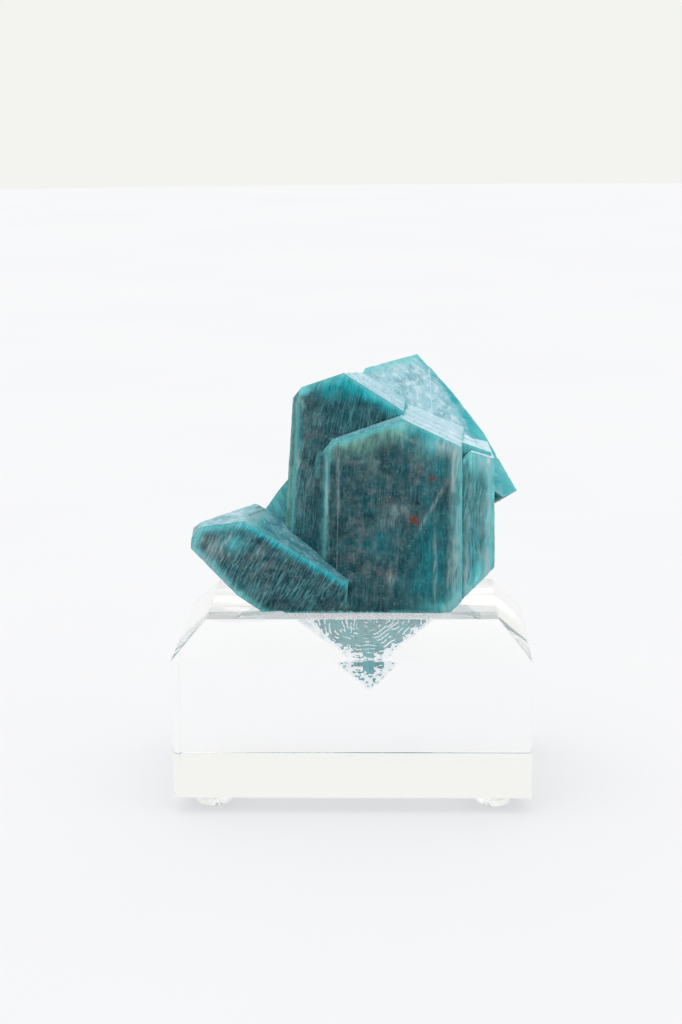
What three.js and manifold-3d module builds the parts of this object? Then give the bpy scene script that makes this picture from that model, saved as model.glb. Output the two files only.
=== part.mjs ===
// A cluster of rough amazonite crystals, seated by its tapered root in a pocket of a clear acrylic
// display block that stands on four soft feet. Millimetres, +Z up. The origin is the centre of the
// block's footprint on the surface it stands on, and the front looks along -Y.

import * as THREE from "three";
import { mergeVertices } from "three/addons/utils/BufferGeometryUtils.js";
import Module from "manifold-3d";

const wasm = await Module();
wasm.setup();

// ---------------------------------------------------------------- driving dimensions

const BLOCK_WIDTH = 76.2;
const BLOCK_DEPTH = 50.8;
const BLOCK_HEIGHT = 37.6;
const BEVEL_WIDTH = 7.0; // how far the bevels round the top come in from each side
const BEVEL_HEIGHT = 7.4;

const FOOT_HEIGHT = 3.5;
const FOOT_RADIUS = 4.75;
const FOOT_REST_RADIUS = 2.6; // the flat at the bottom of each foot
const FOOT_INSET = 7.9; // from each side of the block to a foot's axis
const FOOT_SEGMENTS = 32;
const FOOT_DOME_STEPS = 7;

const BLOCK_TOP = FOOT_HEIGHT + BLOCK_HEIGHT;
const SEAT_GAP = 0.35; // between the root and the wall of its pocket
const UNDERSIDE_GAP = 0.15; // between the crystals that overhang the pocket and the block's top
const FAR = 160; // larger than anything here, for the solids that only cut

// ---------------------------------------------------------------- crystals
// A crystal is a centre and its faces, read as on a goniometer. A face is [bearing, elevation,
// distance]: the compass bearing it looks along (0 the front, 90 the right, 180 the back), how far
// it tips up, both in degrees, and how far it lies from the centre.
// Layers are thin growth sheets stacked on one face. Each is `rise` thicker than the last, and
// stops at the `end` face, which moves in by `run` from sheet to sheet.

const FRONT = [-3.5, -4]; // the crystals that stand side by side share these directions
const BACK = [176.5, 4];

const CRYSTALS = {
  main: {
    centre: [8, -5, 60],
    faces: {
      front: [...FRONT, 9.0],
      back: [...BACK, 12.0],
      topLeft: [-82.5, 70, 22.2],
      topRight: [78.5, 64, 23.5],
      left: [-93, 4, 15.5],
      right: [86.5, 0, 16.0],
      shoulder: [-90.5, 38, 21.1],
      leftBevel: [-35.5, -1.5, 14.6],
      shoulderBevel: [-32, 16.5, 19.1],
      topLeftBevel: [-21, 38, 21.6],
    },
    layers: [
      { on: "topRight", count: 3, rise: 0.3, end: [...FRONT, 7.4], run: 2.6 },
      { on: "front", count: 1, rise: 0.3, end: [-93, 2, 10.6], run: 0 },
    ],
  },
  rightHand: {
    centre: [27, -5, 60],
    faces: {
      front: [...FRONT, 9.3],
      back: [...BACK, 10.8],
      top: [74, 72.5, 16.1],
      topLeft: [-89.5, 46, 13.2],
      left: [-93.5, 0, 7.7],
      right: [94.5, 1, 2.7],
      rightBevel: [36.5, -3, 9.1],
    },
  },
  stepBehind: {
    centre: [20, -3, 60],
    faces: {
      front: [...FRONT, 9.1],
      back: [...BACK, 9.8],
      topLeft: [-87.5, 56.5, 25.2],
      topRight: [75.5, 70, 19.2],
      left: [-93.5, 0.5, 13.5],
      right: [124.5, 3.5, 2.7],
    },
    layers: [{ on: "topRight", count: 2, rise: 0.3, end: [...FRONT, 5.4], run: 3.2 }],
  },
  tallLeft: {
    centre: [-2, -4, 70],
    faces: {
      front: [-2.5, -3.5, 8.6],
      back: [177.5, 3.5, 10.4],
      topLeft: [-130, 67, 18.6],
      topRight: [82.5, 57, 20.4],
      shoulder: [-100, 40.5, 18.0],
      left: [-92, 4.5, 11.3],
      right: [87.5, -0.5, 13.5],
      leftBevel: [-37, -0.5, 12.7],
    },
    layers: [{ on: "topRight", count: 2, rise: 0.25, end: [-2.5, -3.5, 6.6], run: 3.0 }],
  },
  leaningLeft: {
    centre: [-18, -10, 52],
    faces: {
      front: [3, -22, 6.8],
      back: [180, 5.5, 11.2],
      topLeft: [-49, 79.5, 13.0],
      topRight: [72, 50, 8.3],
      topBackLeft: [-127.5, 60, 11.7],
      topBackRight: [121, 59.5, 9.5],
      left: [-88.5, 5.5, 16.4],
      upperLeft: [-78.5, 38, 18.1],
      lowerLeft: [-90, -38.5, 9.3],
      right: [90, -6, 17.6],
    },
    layers: [{ on: "topRight", count: 4, rise: 0.38, end: [68, -30, -6.1], run: 0.75 }],
  },
  slabBehind: {
    centre: [20, 0, 78],
    faces: {
      front: [...FRONT, 10.0],
      broad: [32, 36.5, 4.4],
      back: [-148, -36.5, 6.6],
      top: [-132.5, 52.5, 17.7],
      left: [-95.5, 24, 21.2],
      rightHigh: [129.5, 27, 6.0],
      rightMiddle: [126.5, 22.5, 5.5],
      rightLow: [120.5, 15, 6.3],
      low: [63.5, -60, 18.4],
    },
    layers: [{ on: "broad", count: 1, rise: 0.3, end: [-60, 20, 6.0], run: 0 }],
  },
  leftWedge: {
    centre: [-14, -2, 65],
    faces: {
      front: [-2.5, -3.5, 3.8],
      back: [177.5, 3.5, 5.2],
      upperLeft: [-108, 40, 1.5],
      left: [-108.5, 34.5, 1.4],
      right: [88, -1, 4.5],
      underside: [-96, -47.5, 7.5],
    },
  },
  backLeft: {
    centre: [-5, 6, 62],
    faces: {
      front: [8, 0, 8.0],
      back: [188, 3, 6.8],
      topLeft: [-78, 62, 12.0],
      topRight: [95, 58, 13.5],
      left: [-82, 3, 9.5],
      right: [98, 0, 12.0],
      backBevel: [-140, 6, 9.2],
      topBack: [186, 48, 13.4],
    },
    layers: [{ on: "back", count: 2, rise: 0.35, end: [98, 0, 8.0], run: 3.5 }],
  },
  backRight: {
    centre: [17, 6, 55],
    faces: {
      front: [-12, 0, 8.0],
      back: [168, 5, 8.6],
      topLeft: [-100, 55, 13.8],
      topRight: [70, 60, 13.2],
      left: [-102, 2, 10.5],
      right: [78, -2, 10.8],
      backBevel: [122, 4, 11.6],
      topBack: [165, 40, 14.2],
    },
    layers: [{ on: "topRight", count: 2, rise: 0.4, end: [168, 5, 5.5], run: 2.5 }],
  },
  paleKnob: {
    centre: [30.6, -4, 65],
    faces: {
      front: [20, -10, 1.9],
      back: [200, 10, 2.2],
      top: [0, 75, 1.8],
      right: [84, -12, 1.7],
      left: [-90, 0, 3.5],
      underside: [60, -70, 1.6],
    },
  },
};

// Below the crystals the cluster was broken off. What stands on the block keeps these faces, and
// their centre is on the block's top. The underside stops just short of that top.
const LOWER_END = {
  centre: [3.7, 0, BLOCK_TOP],
  faces: {
    left: [-90, -51.5, 14.3],
    right: [90, -43.5, 12.5],
    back: [180, -26, 9.9],
    backLeft: [-135, -35, 12.2],
    backRight: [135, -33, 12.4],
    underside: [0, -90, -UNDERSIDE_GAP],
  },
};

// The root tapers to a blunt keel, and the pocket is ground to its shape.
const ROOT = {
  centre: LOWER_END.centre,
  faces: {
    left: [-90, -48, 12.4],
    right: [90, -44, 11.5],
    front: [0, -8, 12.9],
    back: LOWER_END.faces.back,
    backLeft: LOWER_END.faces.backLeft,
    backRight: LOWER_END.faces.backRight,
    tip: [0, -90, 16.7],
  },
};
const MOUTH = { mouth: [0, 90, 1] }; // cuts off what stands out of the pocket

// ---------------------------------------------------------------- finishes

const AMAZONITE = new THREE.MeshStandardMaterial({ color: 0x3f8f93, roughness: 0.5, metalness: 0 });
const ACRYLIC = new THREE.MeshStandardMaterial({
  color: 0xf4f7f8,
  roughness: 0.03,
  metalness: 0,
  transparent: true,
  opacity: 0.3,
});
const SOFT_CLEAR = new THREE.MeshStandardMaterial({
  color: 0xe9edee,
  roughness: 0.15,
  metalness: 0,
  transparent: true,
  opacity: 0.5,
});

// ---------------------------------------------------------------- solids

// A closed geometry as a manifold-3d solid.
function solidFrom(geometry) {
  const bare = geometry.clone();
  bare.deleteAttribute("normal");
  bare.deleteAttribute("uv");
  const merged = mergeVertices(bare, 1e-4);
  return new wasm.Manifold(
    new wasm.Mesh({
      numProp: 3,
      vertProperties: merged.getAttribute("position").array,
      triVerts: new Uint32Array(merged.getIndex().array),
    }),
  );
}

// A manifold-3d solid as a geometry with flat faces.
function geometryFrom(solid) {
  const mesh = solid.getMesh();
  const shared = new THREE.BufferGeometry();
  shared.setAttribute("position", new THREE.BufferAttribute(mesh.vertProperties, mesh.numProp));
  shared.setIndex(new THREE.BufferAttribute(mesh.triVerts, 1));
  const flat = shared.toNonIndexed();
  flat.computeVertexNormals();
  return flat;
}

// The way a face looks, from its bearing and its elevation in degrees.
function outward(bearing, elevation) {
  const turn = THREE.MathUtils.degToRad(bearing);
  const rise = THREE.MathUtils.degToRad(elevation);
  return new THREE.Vector3(
    Math.sin(turn) * Math.cos(rise),
    -Math.cos(turn) * Math.cos(rise),
    Math.sin(rise),
  );
}

// Everything beyond a face, as a box that reaches far past the part.
function beyond(centre, [bearing, elevation, distance]) {
  const normal = outward(bearing, elevation);
  const box = new THREE.BoxGeometry(2 * FAR, 2 * FAR, FAR);
  box.translate(0, 0, distance + FAR / 2);
  box.applyQuaternion(new THREE.Quaternion().setFromUnitVectors(new THREE.Vector3(0, 0, 1), normal));
  box.translate(...centre);
  return solidFrom(box);
}

// What is left of a rough lump when each of the faces is cleaved off it.
function cleave(lump, centre, faces) {
  return Object.values(faces).reduce((rest, face) => rest.subtract(beyond(centre, face)), lump);
}

function roughLump(centre) {
  const box = new THREE.BoxGeometry(FAR, FAR, FAR);
  box.translate(...centre);
  return solidFrom(box);
}

// One growth sheet of a crystal: the crystal a little thicker on one face, cut off at its end.
function growthSheet({ centre, faces }, { on, rise, end, run }, number) {
  const [bearing, elevation, distance] = faces[on];
  const [endBearing, endElevation, endDistance] = end;
  const thicker = {
    ...faces,
    [on]: [bearing, elevation, distance + rise * number],
    end: [endBearing, endElevation, endDistance - run * (number - 1)],
  };
  return cleave(roughLump(centre), centre, thicker);
}

function crystal(shape) {
  let grown = cleave(roughLump(shape.centre), shape.centre, shape.faces);
  for (const stack of shape.layers ?? []) {
    for (let number = 1; number <= stack.count; number += 1) {
      grown = grown.add(growthSheet(shape, stack, number));
    }
  }
  return grown;
}

// The crystals grown into one another, with the lower end tapered to the root.
function clusterSolid() {
  const together = Object.values(CRYSTALS)
    .map(crystal)
    .reduce((grown, next) => grown.add(next));
  const standing = cleave(together, LOWER_END.centre, LOWER_END.faces);
  const root = cleave(together, ROOT.centre, { ...ROOT.faces, ...MOUTH });
  return standing.add(root);
}

// The root's own shape grown by the gap all round, open at the top.
function pocketSolid() {
  const wider = Object.fromEntries(
    Object.entries(ROOT.faces).map(([name, [bearing, elevation, distance]]) => [
      name,
      [bearing, elevation, distance + SEAT_GAP],
    ]),
  );
  return cleave(roughLump(ROOT.centre), ROOT.centre, { ...wider, ...MOUTH });
}

function blockSolid() {
  const box = new THREE.BoxGeometry(BLOCK_WIDTH, BLOCK_DEPTH, BLOCK_HEIGHT);
  const middle = [0, 0, FOOT_HEIGHT + BLOCK_HEIGHT / 2];
  box.translate(...middle);
  const slope = THREE.MathUtils.radToDeg(Math.atan2(BEVEL_WIDTH, BEVEL_HEIGHT));
  const bevel = (bearing, reach) => {
    const normal = outward(bearing, slope);
    const lip = Math.hypot(normal.x, normal.y) * reach;
    return [bearing, slope, lip + normal.z * (BLOCK_HEIGHT / 2 - BEVEL_HEIGHT)];
  };
  const bevels = {
    front: bevel(0, BLOCK_DEPTH / 2),
    right: bevel(90, BLOCK_WIDTH / 2),
    back: bevel(180, BLOCK_DEPTH / 2),
    left: bevel(-90, BLOCK_WIDTH / 2),
  };
  return cleave(solidFrom(box), middle, bevels).subtract(pocketSolid());
}

// A soft bumper: flat where it sticks to the block, domed, and flat where it rests.
function footGeometry() {
  const profile = [new THREE.Vector2(0, 0)];
  for (let step = 0; step <= FOOT_DOME_STEPS; step += 1) {
    const angle = (Math.PI / 2) * (step / FOOT_DOME_STEPS);
    const bulge = (FOOT_RADIUS - FOOT_REST_RADIUS) * Math.sin(angle);
    profile.push(new THREE.Vector2(FOOT_REST_RADIUS + bulge, FOOT_HEIGHT * (1 - Math.cos(angle))));
  }
  profile.push(new THREE.Vector2(0, FOOT_HEIGHT));
  return new THREE.LatheGeometry(profile, FOOT_SEGMENTS).rotateX(Math.PI / 2);
}

// ---------------------------------------------------------------- the part

function namedMesh(name, geometry, material) {
  const mesh = new THREE.Mesh(geometry, material);
  mesh.name = name;
  return mesh;
}

const displaySpecimen = new THREE.Group();
displaySpecimen.add(namedMesh("amazonite_cluster", geometryFrom(clusterSolid()), AMAZONITE));
displaySpecimen.add(namedMesh("acrylic_base", geometryFrom(blockSolid()), ACRYLIC));

for (const [depthName, towardsBack] of [
  ["front", -1],
  ["back", 1],
]) {
  for (const [sideName, towardsRight] of [
    ["left", -1],
    ["right", 1],
  ]) {
    const foot = namedMesh(`foot_${depthName}_${sideName}`, footGeometry(), SOFT_CLEAR);
    foot.position.set(
      towardsRight * (BLOCK_WIDTH / 2 - FOOT_INSET),
      towardsBack * (BLOCK_DEPTH / 2 - FOOT_INSET),
      0,
    );
    displaySpecimen.add(foot);
  }
}

export default displaySpecimen;
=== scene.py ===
"""Dresses a cluster of rough amazonite crystals seated in a clear display block on four soft feet.

Lengths are millimetres until a mesh is made, and metres from there on.
"""

import logging
import math
from dataclasses import dataclass, field
from enum import Enum
from typing import Dict, List, Sequence, Tuple, Union

import bmesh
import bpy
import numpy as np
from mathutils import Matrix, Vector, noise
from mathutils.geometry import delaunay_2d_cdt
from mathutils.kdtree import KDTree


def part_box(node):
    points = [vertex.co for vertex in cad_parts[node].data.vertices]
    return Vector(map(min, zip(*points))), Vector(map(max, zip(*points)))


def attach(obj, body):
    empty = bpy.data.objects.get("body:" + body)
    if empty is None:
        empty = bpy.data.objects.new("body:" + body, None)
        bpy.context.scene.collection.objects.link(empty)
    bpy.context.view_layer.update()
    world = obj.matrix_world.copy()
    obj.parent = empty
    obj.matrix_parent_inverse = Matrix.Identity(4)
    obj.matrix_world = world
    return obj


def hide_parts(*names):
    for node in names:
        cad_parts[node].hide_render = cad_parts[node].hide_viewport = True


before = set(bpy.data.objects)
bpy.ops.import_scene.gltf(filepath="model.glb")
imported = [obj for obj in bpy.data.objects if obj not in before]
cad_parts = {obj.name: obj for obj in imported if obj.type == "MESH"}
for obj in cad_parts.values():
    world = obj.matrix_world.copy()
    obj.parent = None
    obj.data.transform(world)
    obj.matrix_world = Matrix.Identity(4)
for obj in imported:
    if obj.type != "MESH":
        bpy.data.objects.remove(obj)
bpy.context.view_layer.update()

LOG = logging.getLogger("amazonite")
MM = 0.001
BODY = "root"
FAR_AWAY = 1e3
LATER = {"init": False, "repr": False}
SLIVER = 1e-4

Array = np.ndarray
Pair = Tuple[float, float]
Triple = Tuple[float, float, float]
Colour = Tuple[float, float, float, float]
Piece = bpy.types.Object
Mesh = bpy.types.Mesh
Material = bpy.types.Material
Node = bpy.types.Node
Tree = bpy.types.NodeTree
Socket = bpy.types.NodeSocket
Feed = Union[float, Sequence[float], Socket]


# ---------------------------------------------------------------- small tools


def outward(bearing: float, elevation: float) -> Array:
    """Gives the way a face looks.

    Args:
        bearing: compass bearing in degrees, 0 the front, 90 the right, 180 the back.
        elevation: how far the face tips up, in degrees.

    Returns:
        The unit vector.
    """
    turn, rise = math.radians(bearing), math.radians(elevation)
    flat = math.cos(rise)
    return np.array([math.sin(turn) * flat, -math.cos(turn) * flat, math.sin(rise)])


def unit(vector: Array) -> Array:
    """Scales a vector to length one."""
    return vector / np.linalg.norm(vector)


def paint(red: int, green: int, blue: int) -> Colour:
    """Turns a colour as read off a chart into the shader's linear colour.

    Args:
        red: from 0 to 255.
        green: from 0 to 255.
        blue: from 0 to 255.

    Returns:
        The colour, opaque.
    """

    def linear(level: int) -> float:
        """Turns one level of the chart's curve into light."""
        share = level / 255
        return share / 12.92 if share <= 0.04045 else ((share + 0.055) / 1.055) ** 2.4

    return (linear(red), linear(green), linear(blue), 1.0)


def smooth(low: float, high: float, value: Array) -> Array:
    """Rises softly from 0 at low to 1 at high."""
    share = np.clip((value - low) / (high - low), 0.0, 1.0)
    return share * share * (3 - 2 * share)


@dataclass(frozen=True)
class Ripple:
    """Smooth solid noise: how far apart its crests lie, a shift of the pattern, and its height."""

    wavelength: float
    shift: float = 0.0
    height: float = 1.0

    def at(self, points: Array) -> Array:
        """Gives the noise at some points.

        Args:
            points: one row a point, in the wavelength's unit.

        Returns:
            One value a point, from about minus its height to its height.
        """
        scaled = points / self.wavelength + self.shift
        return self.height * np.array([noise.noise(Vector(row)) for row in scaled])


def tree_of(points: Array) -> KDTree:
    """Sorts points into a tree that finds near ones quickly.

    Args:
        points: one row a point.

    Returns:
        The tree.
    """
    tree = KDTree(len(points))
    for number, point in enumerate(points):
        tree.insert(point, number)
    tree.balance()
    return tree


def nearest(points: Array, marks: Array) -> Array:
    """Measures how far each point lies from the nearest mark."""
    tree = tree_of(marks)
    return np.array([tree.find(point)[2] for point in points])


def add_float(mesh: Mesh, name: str, values: Array, domain: str = "POINT") -> None:
    """Stores one number for each point or face of a mesh."""
    layer = mesh.attributes.new(name, "FLOAT", domain)
    layer.data.foreach_set("value", np.asarray(values, np.float32))


def make_mesh(name: str, points: Array, faces: Sequence[Sequence[int]]) -> Mesh:
    """Makes a smooth-shaded mesh in metres.

    Args:
        name: the mesh's name.
        points: its points, in millimetres.
        faces: the points of each face, by number.

    Returns:
        The mesh.
    """
    mesh = bpy.data.meshes.new(name)
    mesh.from_pydata((np.asarray(points) * MM).tolist(), [], [list(map(int, f)) for f in faces])
    mesh.validate()
    mesh.shade_smooth()
    return mesh


def show(name: str, mesh: Mesh, material: Material) -> Piece:
    """Puts a mesh into the scene.

    Args:
        name: the piece's name.
        mesh: its mesh.
        material: its first material.

    Returns:
        The piece.
    """
    piece = bpy.data.objects.new(name, mesh)
    bpy.context.scene.collection.objects.link(piece)
    mesh.materials.clear()
    mesh.materials.append(material)
    return piece


# ---------------------------------------------------------------- flat-faced solids


@dataclass
class Flat:
    """One flat face of a solid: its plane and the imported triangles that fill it."""

    normal: Array
    offset: float
    triangles: List[int]


@dataclass
class FineMesh:
    """A finely divided copy of a flat-faced solid."""

    points: Array
    normals: Array
    triangles: Array
    flat_of: Array


@dataclass
class EdgeRun:
    """Marks along one edge between two flats."""

    flats: Tuple[int, int]
    marks: Array
    convex: bool
    angle: float


class FlatSolid:
    """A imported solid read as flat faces, which can be divided finely without changing its shape."""

    PLANE_SLACK = 0.003
    FOLD_SLACK = -0.5
    WELD_DECIMALS = 4
    MARK_STEP = 0.25
    ASKEW = (0.31, 0.52, 0.79)
    ROW_HEIGHT = 0.866
    JITTER = 0.17
    LIP_CLEAR = 0.8
    GRID_CLEAR = 0.55
    MERGE = 1e-6
    BOX_SLACK = 1e-7
    SIDE_SLACK = 1e-9
    TINY = 1e-9
    NO_LENGTH = 1e-12

    def __init__(self, points: Array, triangles: Array) -> None:
        """Finds the flats of a closed triangle mesh.

        Args:
            points: its points, in millimetres.
            triangles: the points of each triangle, by number.
        """
        self.points = points
        self.triangles = triangles
        corners = points[triangles]
        cross = np.cross(corners[:, 1] - corners[:, 0], corners[:, 2] - corners[:, 0])
        length = np.linalg.norm(cross, axis=1)
        self.areas = length / 2
        self.facing = cross / np.maximum(length, self.NO_LENGTH)[:, None]
        self.side_of: Dict[Tuple[int, int], int] = {}
        for number, (a, b, c) in enumerate(triangles):
            for start, end in ((a, b), (b, c), (c, a)):
                self.side_of[(int(start), int(end))] = number
        self.flats: List[Flat] = []
        self.flat_of = np.full(len(triangles), -1)
        self._find_flats()

    @classmethod
    def from_node(cls, name: str) -> "FlatSolid":
        """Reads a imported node.

        Args:
            name: the node.

        Returns:
            Its solid.
        """
        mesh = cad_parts[name].data
        mesh.calc_loop_triangles()
        points = np.array([v.co for v in mesh.vertices], float) / MM
        triangles = np.array([t.vertices for t in mesh.loop_triangles])
        points, index = np.unique(np.round(points, cls.WELD_DECIMALS), axis=0, return_inverse=True)
        triangles = index.reshape(-1)[triangles]
        whole = [t for t in triangles if len(set(t.tolist())) == 3]
        return cls(points, np.array(whole))

    def _find_flats(self) -> None:
        """Grows each flat from its largest triangle over its neighbours in the same plane."""
        for seed in np.argsort(-self.areas):
            if self.flat_of[seed] >= 0:
                continue
            normal = self.facing[seed]
            offset = float(normal @ self.points[self.triangles[seed][0]])
            members = [int(seed)]
            self.flat_of[seed] = len(self.flats)
            for number in members:
                a, b, c = (int(v) for v in self.triangles[number])
                for start, end in ((b, a), (c, b), (a, c)):
                    other = self.side_of.get((start, end), -1)
                    if other < 0 or self.flat_of[other] >= 0:
                        continue
                    gap = np.abs(self.points[self.triangles[other]] @ normal - offset).max()
                    if gap < self.PLANE_SLACK and self.facing[other] @ normal > self.FOLD_SLACK:
                        self.flat_of[other] = len(self.flats)
                        members.append(other)
            self.flats.append(Flat(normal, offset, members))

    def edge_runs(self) -> List[EdgeRun]:
        """Lists the edges between flats.

        Returns:
            The edges, with evenly spaced marks on each.
        """
        runs = []
        for (start, end), number in self.side_of.items():
            other = self.side_of[(end, start)]
            one, two = int(self.flat_of[number]), int(self.flat_of[other])
            if start > end or one == two:
                continue
            a, b = self.points[start], self.points[end]
            along = b - a
            steps = max(1, round(float(np.linalg.norm(along)) / self.MARK_STEP))
            marks = a + np.outer((np.arange(steps) + 0.5) / steps, along)
            first, second = self.flats[one].normal, self.flats[two].normal
            inward = np.cross(first, along)
            angle = math.degrees(math.acos(float(np.clip(first @ second, -1, 1))))
            runs.append(EdgeRun((one, two), marks, bool(second @ inward < 0), angle))
        return runs

    def divided(self, spacing: float, lip: float, seed: int) -> FineMesh:
        """Divides every flat into small triangles that share the points along its edges.

        Args:
            spacing: how far apart the inner points lie.
            lip: how far the first row of points lies from each edge.
            seed: sets the jitter of the inner points.

        Returns:
            The fine mesh, with each point's outward direction and each triangle's flat.
        """
        dice = np.random.default_rng(seed)
        points: List[Array] = list(self.points)
        normals: List[Array] = [np.zeros(3) for _ in points]
        chains: Dict[Tuple[int, int], List[int]] = {}
        triangles: List[Array] = []
        flat_of: List[Array] = []
        for number, flat in enumerate(self.flats):
            border = self._border(number, chains, points, normals, spacing)
            inner, faces = self._fill(flat, border, points, spacing, lip, dice)
            base = len(points)
            points.extend(inner)
            normals.extend([flat.normal] * len(inner))
            ids = sorted({v for pair in border for v in pair})
            for v in ids:
                normals[v] = normals[v] + flat.normal
            lookup = np.array(ids + list(range(base, base + len(inner))))
            if len(faces):
                triangles.append(lookup[faces])
                flat_of.append(np.full(len(faces), number))
        joined, owners = self._closed(np.concatenate(triangles), np.concatenate(flat_of))
        keep, index = np.unique(joined, return_inverse=True)
        turned = np.array(normals)[keep]
        turned /= np.maximum(np.linalg.norm(turned, axis=1), self.TINY)[:, None]
        return FineMesh(np.array(points)[keep], turned, index.reshape(joined.shape), owners)

    @staticmethod
    def _closed(triangles: Array, owners: Array) -> Tuple[Array, Array]:
        """Closes the cracks left along straight borders, and drops triangles that lie back to back.

        Args:
            triangles: the points of each triangle, by number.
            owners: each triangle's flat.

        Returns:
            The closed triangles and their flats.
        """
        count = int(triangles.max()) + 1
        following = np.roll(triangles, -1, axis=1)
        sides = triangles * count + following
        loose = ~np.isin(sides, following * count + triangles)
        onward: Dict[int, List[int]] = {}
        for start, end in zip(following[loose].tolist(), triangles[loose].tolist()):
            onward.setdefault(start, []).append(end)
        patches = []
        while onward:
            ring = [next(iter(onward))]
            while ring[-1] in onward and (len(ring) == 1 or ring[-1] != ring[0]):
                ends = onward[ring[-1]]
                tip = ring[-1]
                ring.append(ends.pop())
                if not ends:
                    del onward[tip]
            patches += [[ring[0], ring[k], ring[k + 1]] for k in range(1, len(ring) - 2)]
        if patches:
            triangles = np.concatenate([triangles, patches])
            owners = np.concatenate([owners, np.full(len(patches), owners[0])])
        _, index, counts = np.unique(
            np.sort(triangles, axis=1), axis=0, return_inverse=True, return_counts=True
        )
        single = counts[index.reshape(-1)] == 1
        return triangles[single], owners[single]

    def _border(
        self,
        number: int,
        chains: Dict[Tuple[int, int], List[int]],
        points: List[Array],
        normals: List[Array],
        spacing: float,
    ) -> List[Tuple[int, int]]:
        """Walks a flat's border in short directed steps, the flat on their left.

        Args:
            number: the flat.
            chains: the divided edges so far, which neighbours share.
            points: every point so far.
            normals: every point's direction so far.
            spacing: how long a step is.

        Returns:
            The steps, each from one point to the next.
        """
        steps: List[Tuple[int, int]] = []
        for triangle in self.flats[number].triangles:
            a, b, c = (int(v) for v in self.triangles[triangle])
            for start, end in ((a, b), (b, c), (c, a)):
                if self.flat_of[self.side_of[(end, start)]] == number:
                    continue
                key = (min(start, end), max(start, end))
                if key not in chains:
                    low, high = self.points[key[0]], self.points[key[1]]
                    count = max(1, round(float(np.linalg.norm(high - low)) / spacing))
                    middle = range(len(points), len(points) + count - 1)
                    for step in range(1, count):
                        points.append(low + (high - low) * step / count)
                        normals.append(np.zeros(3))
                    chains[key] = [key[0], *middle, key[1]]
                chain = chains[key] if key[0] == start else chains[key][::-1]
                steps.extend(zip(chain[:-1], chain[1:]))
        return steps

    def _fill(
        self,
        flat: Flat,
        border: List[Tuple[int, int]],
        points: List[Array],
        spacing: float,
        lip: float,
        dice: np.random.Generator,
    ) -> Tuple[Array, Array]:
        """Fills one flat with triangles.

        Args:
            flat: the flat.
            border: its border's steps.
            points: every point so far.
            spacing: how far apart the inner points lie.
            lip: how far the first row of points lies from each edge.
            dice: draws the jitter of the inner points.

        Returns:
            The new inner points, and triangles that count the sorted border points first and the
            inner points after them.
        """
        across = unit(np.cross(flat.normal, self.ASKEW))
        along = np.cross(flat.normal, across)
        axes = np.stack([across, along], 1)
        ids = sorted({v for pair in border for v in pair})
        place = {v: k for k, v in enumerate(ids)}
        rim = np.array([points[v] for v in ids]) @ axes
        steps = np.array([(place[a], place[b]) for a, b in border])
        cover = self.points[self.triangles[flat.triangles]] @ axes
        start, end = rim[steps[:, 0]], rim[steps[:, 1]]
        run = end - start
        length = np.maximum(np.linalg.norm(run, axis=1), self.TINY)
        left = np.stack([-run[:, 1], run[:, 0]], 1) / length[:, None]
        lips = (start + end) / 2 + left * lip
        low, high = rim.min(0), rim.max(0)
        pitch = spacing * self.ROW_HEIGHT
        rows = int((high[1] - low[1]) / pitch) + 1
        columns = int((high[0] - low[0]) / spacing) + 1
        grid = np.array(
            [
                (low[0] + (column + 0.5 * (row % 2)) * spacing, low[1] + row * pitch)
                for row in range(rows + 1)
                for column in range(columns + 1)
            ]
        )
        grid += dice.uniform(-self.JITTER, self.JITTER, grid.shape) * spacing
        lips = lips[self._inside(lips, cover)]
        grid = grid[self._inside(grid, cover)]
        marks = np.concatenate([rim, (start + end) / 2])
        lips = self._clear_of(lips, marks, lip * self.LIP_CLEAR)
        grid = self._clear_of(grid, np.concatenate([marks, lips]), spacing * self.GRID_CLEAR)
        inner = np.concatenate([lips, grid])
        flat_points = np.concatenate([rim, inner])
        made, _, faces, origin, _, _ = delaunay_2d_cdt(
            [Vector(place) for place in flat_points], steps.tolist(), [], 0, self.MERGE
        )
        back = np.array([o[0] if o else -1 for o in origin])
        faces = np.array([f for f in faces if len(f) == 3]).reshape(-1, 3)
        if not len(faces):
            return np.zeros((0, 3)), faces
        middles = np.array([tuple(p) for p in made])[faces].mean(1)
        faces = back[faces]
        count = len(flat_points)
        sides = faces * count + np.roll(faces, -1, axis=1)
        turned = np.isin(sides, steps[:, 1] * count + steps[:, 0]).any(1)
        touching = np.isin(sides, steps[:, 0] * count + steps[:, 1]).any(1)
        wanted = (touching | self._inside(middles, cover)) & ~turned & (faces >= 0).all(1)
        faces = faces[wanted]
        return inner @ axes.T + flat.normal * flat.offset, faces

    @staticmethod
    def _clear_of(places: Array, marks: Array, gap: float) -> Array:
        """Drops the places of a flat that lie nearer than the gap to any mark."""
        flat_rows = [np.pad(rows.reshape(-1, 2), ((0, 0), (0, 1))) for rows in (places, marks)]
        return places[nearest(*flat_rows) > gap].reshape(-1, 2) if len(places) else places

    @classmethod
    def _inside(cls, places: Array, cover: Array) -> Array:
        """Tells which places lie in any of the covering triangles.

        Args:
            places: one row a place on the flat.
            cover: the corners of the triangles.

        Returns:
            True for each place that is covered.
        """
        found = np.zeros(len(places), bool)
        for a, b, c in cover:
            low = np.minimum(np.minimum(a, b), c) - cls.BOX_SLACK
            high = np.maximum(np.maximum(a, b), c) + cls.BOX_SLACK
            near = ((places >= low) & (places <= high)).all(1) & ~found
            if not near.any():
                continue
            p = places[near]
            sides = np.array(
                [
                    (q[0] - o[0]) * (p[:, 1] - o[1]) - (q[1] - o[1]) * (p[:, 0] - o[0])
                    for o, q in ((a, b), (b, c), (c, a))
                ]
            )
            found[near] = (sides >= -cls.SIDE_SLACK).all(0) | (sides <= cls.SIDE_SLACK).all(0)
        return found


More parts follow.
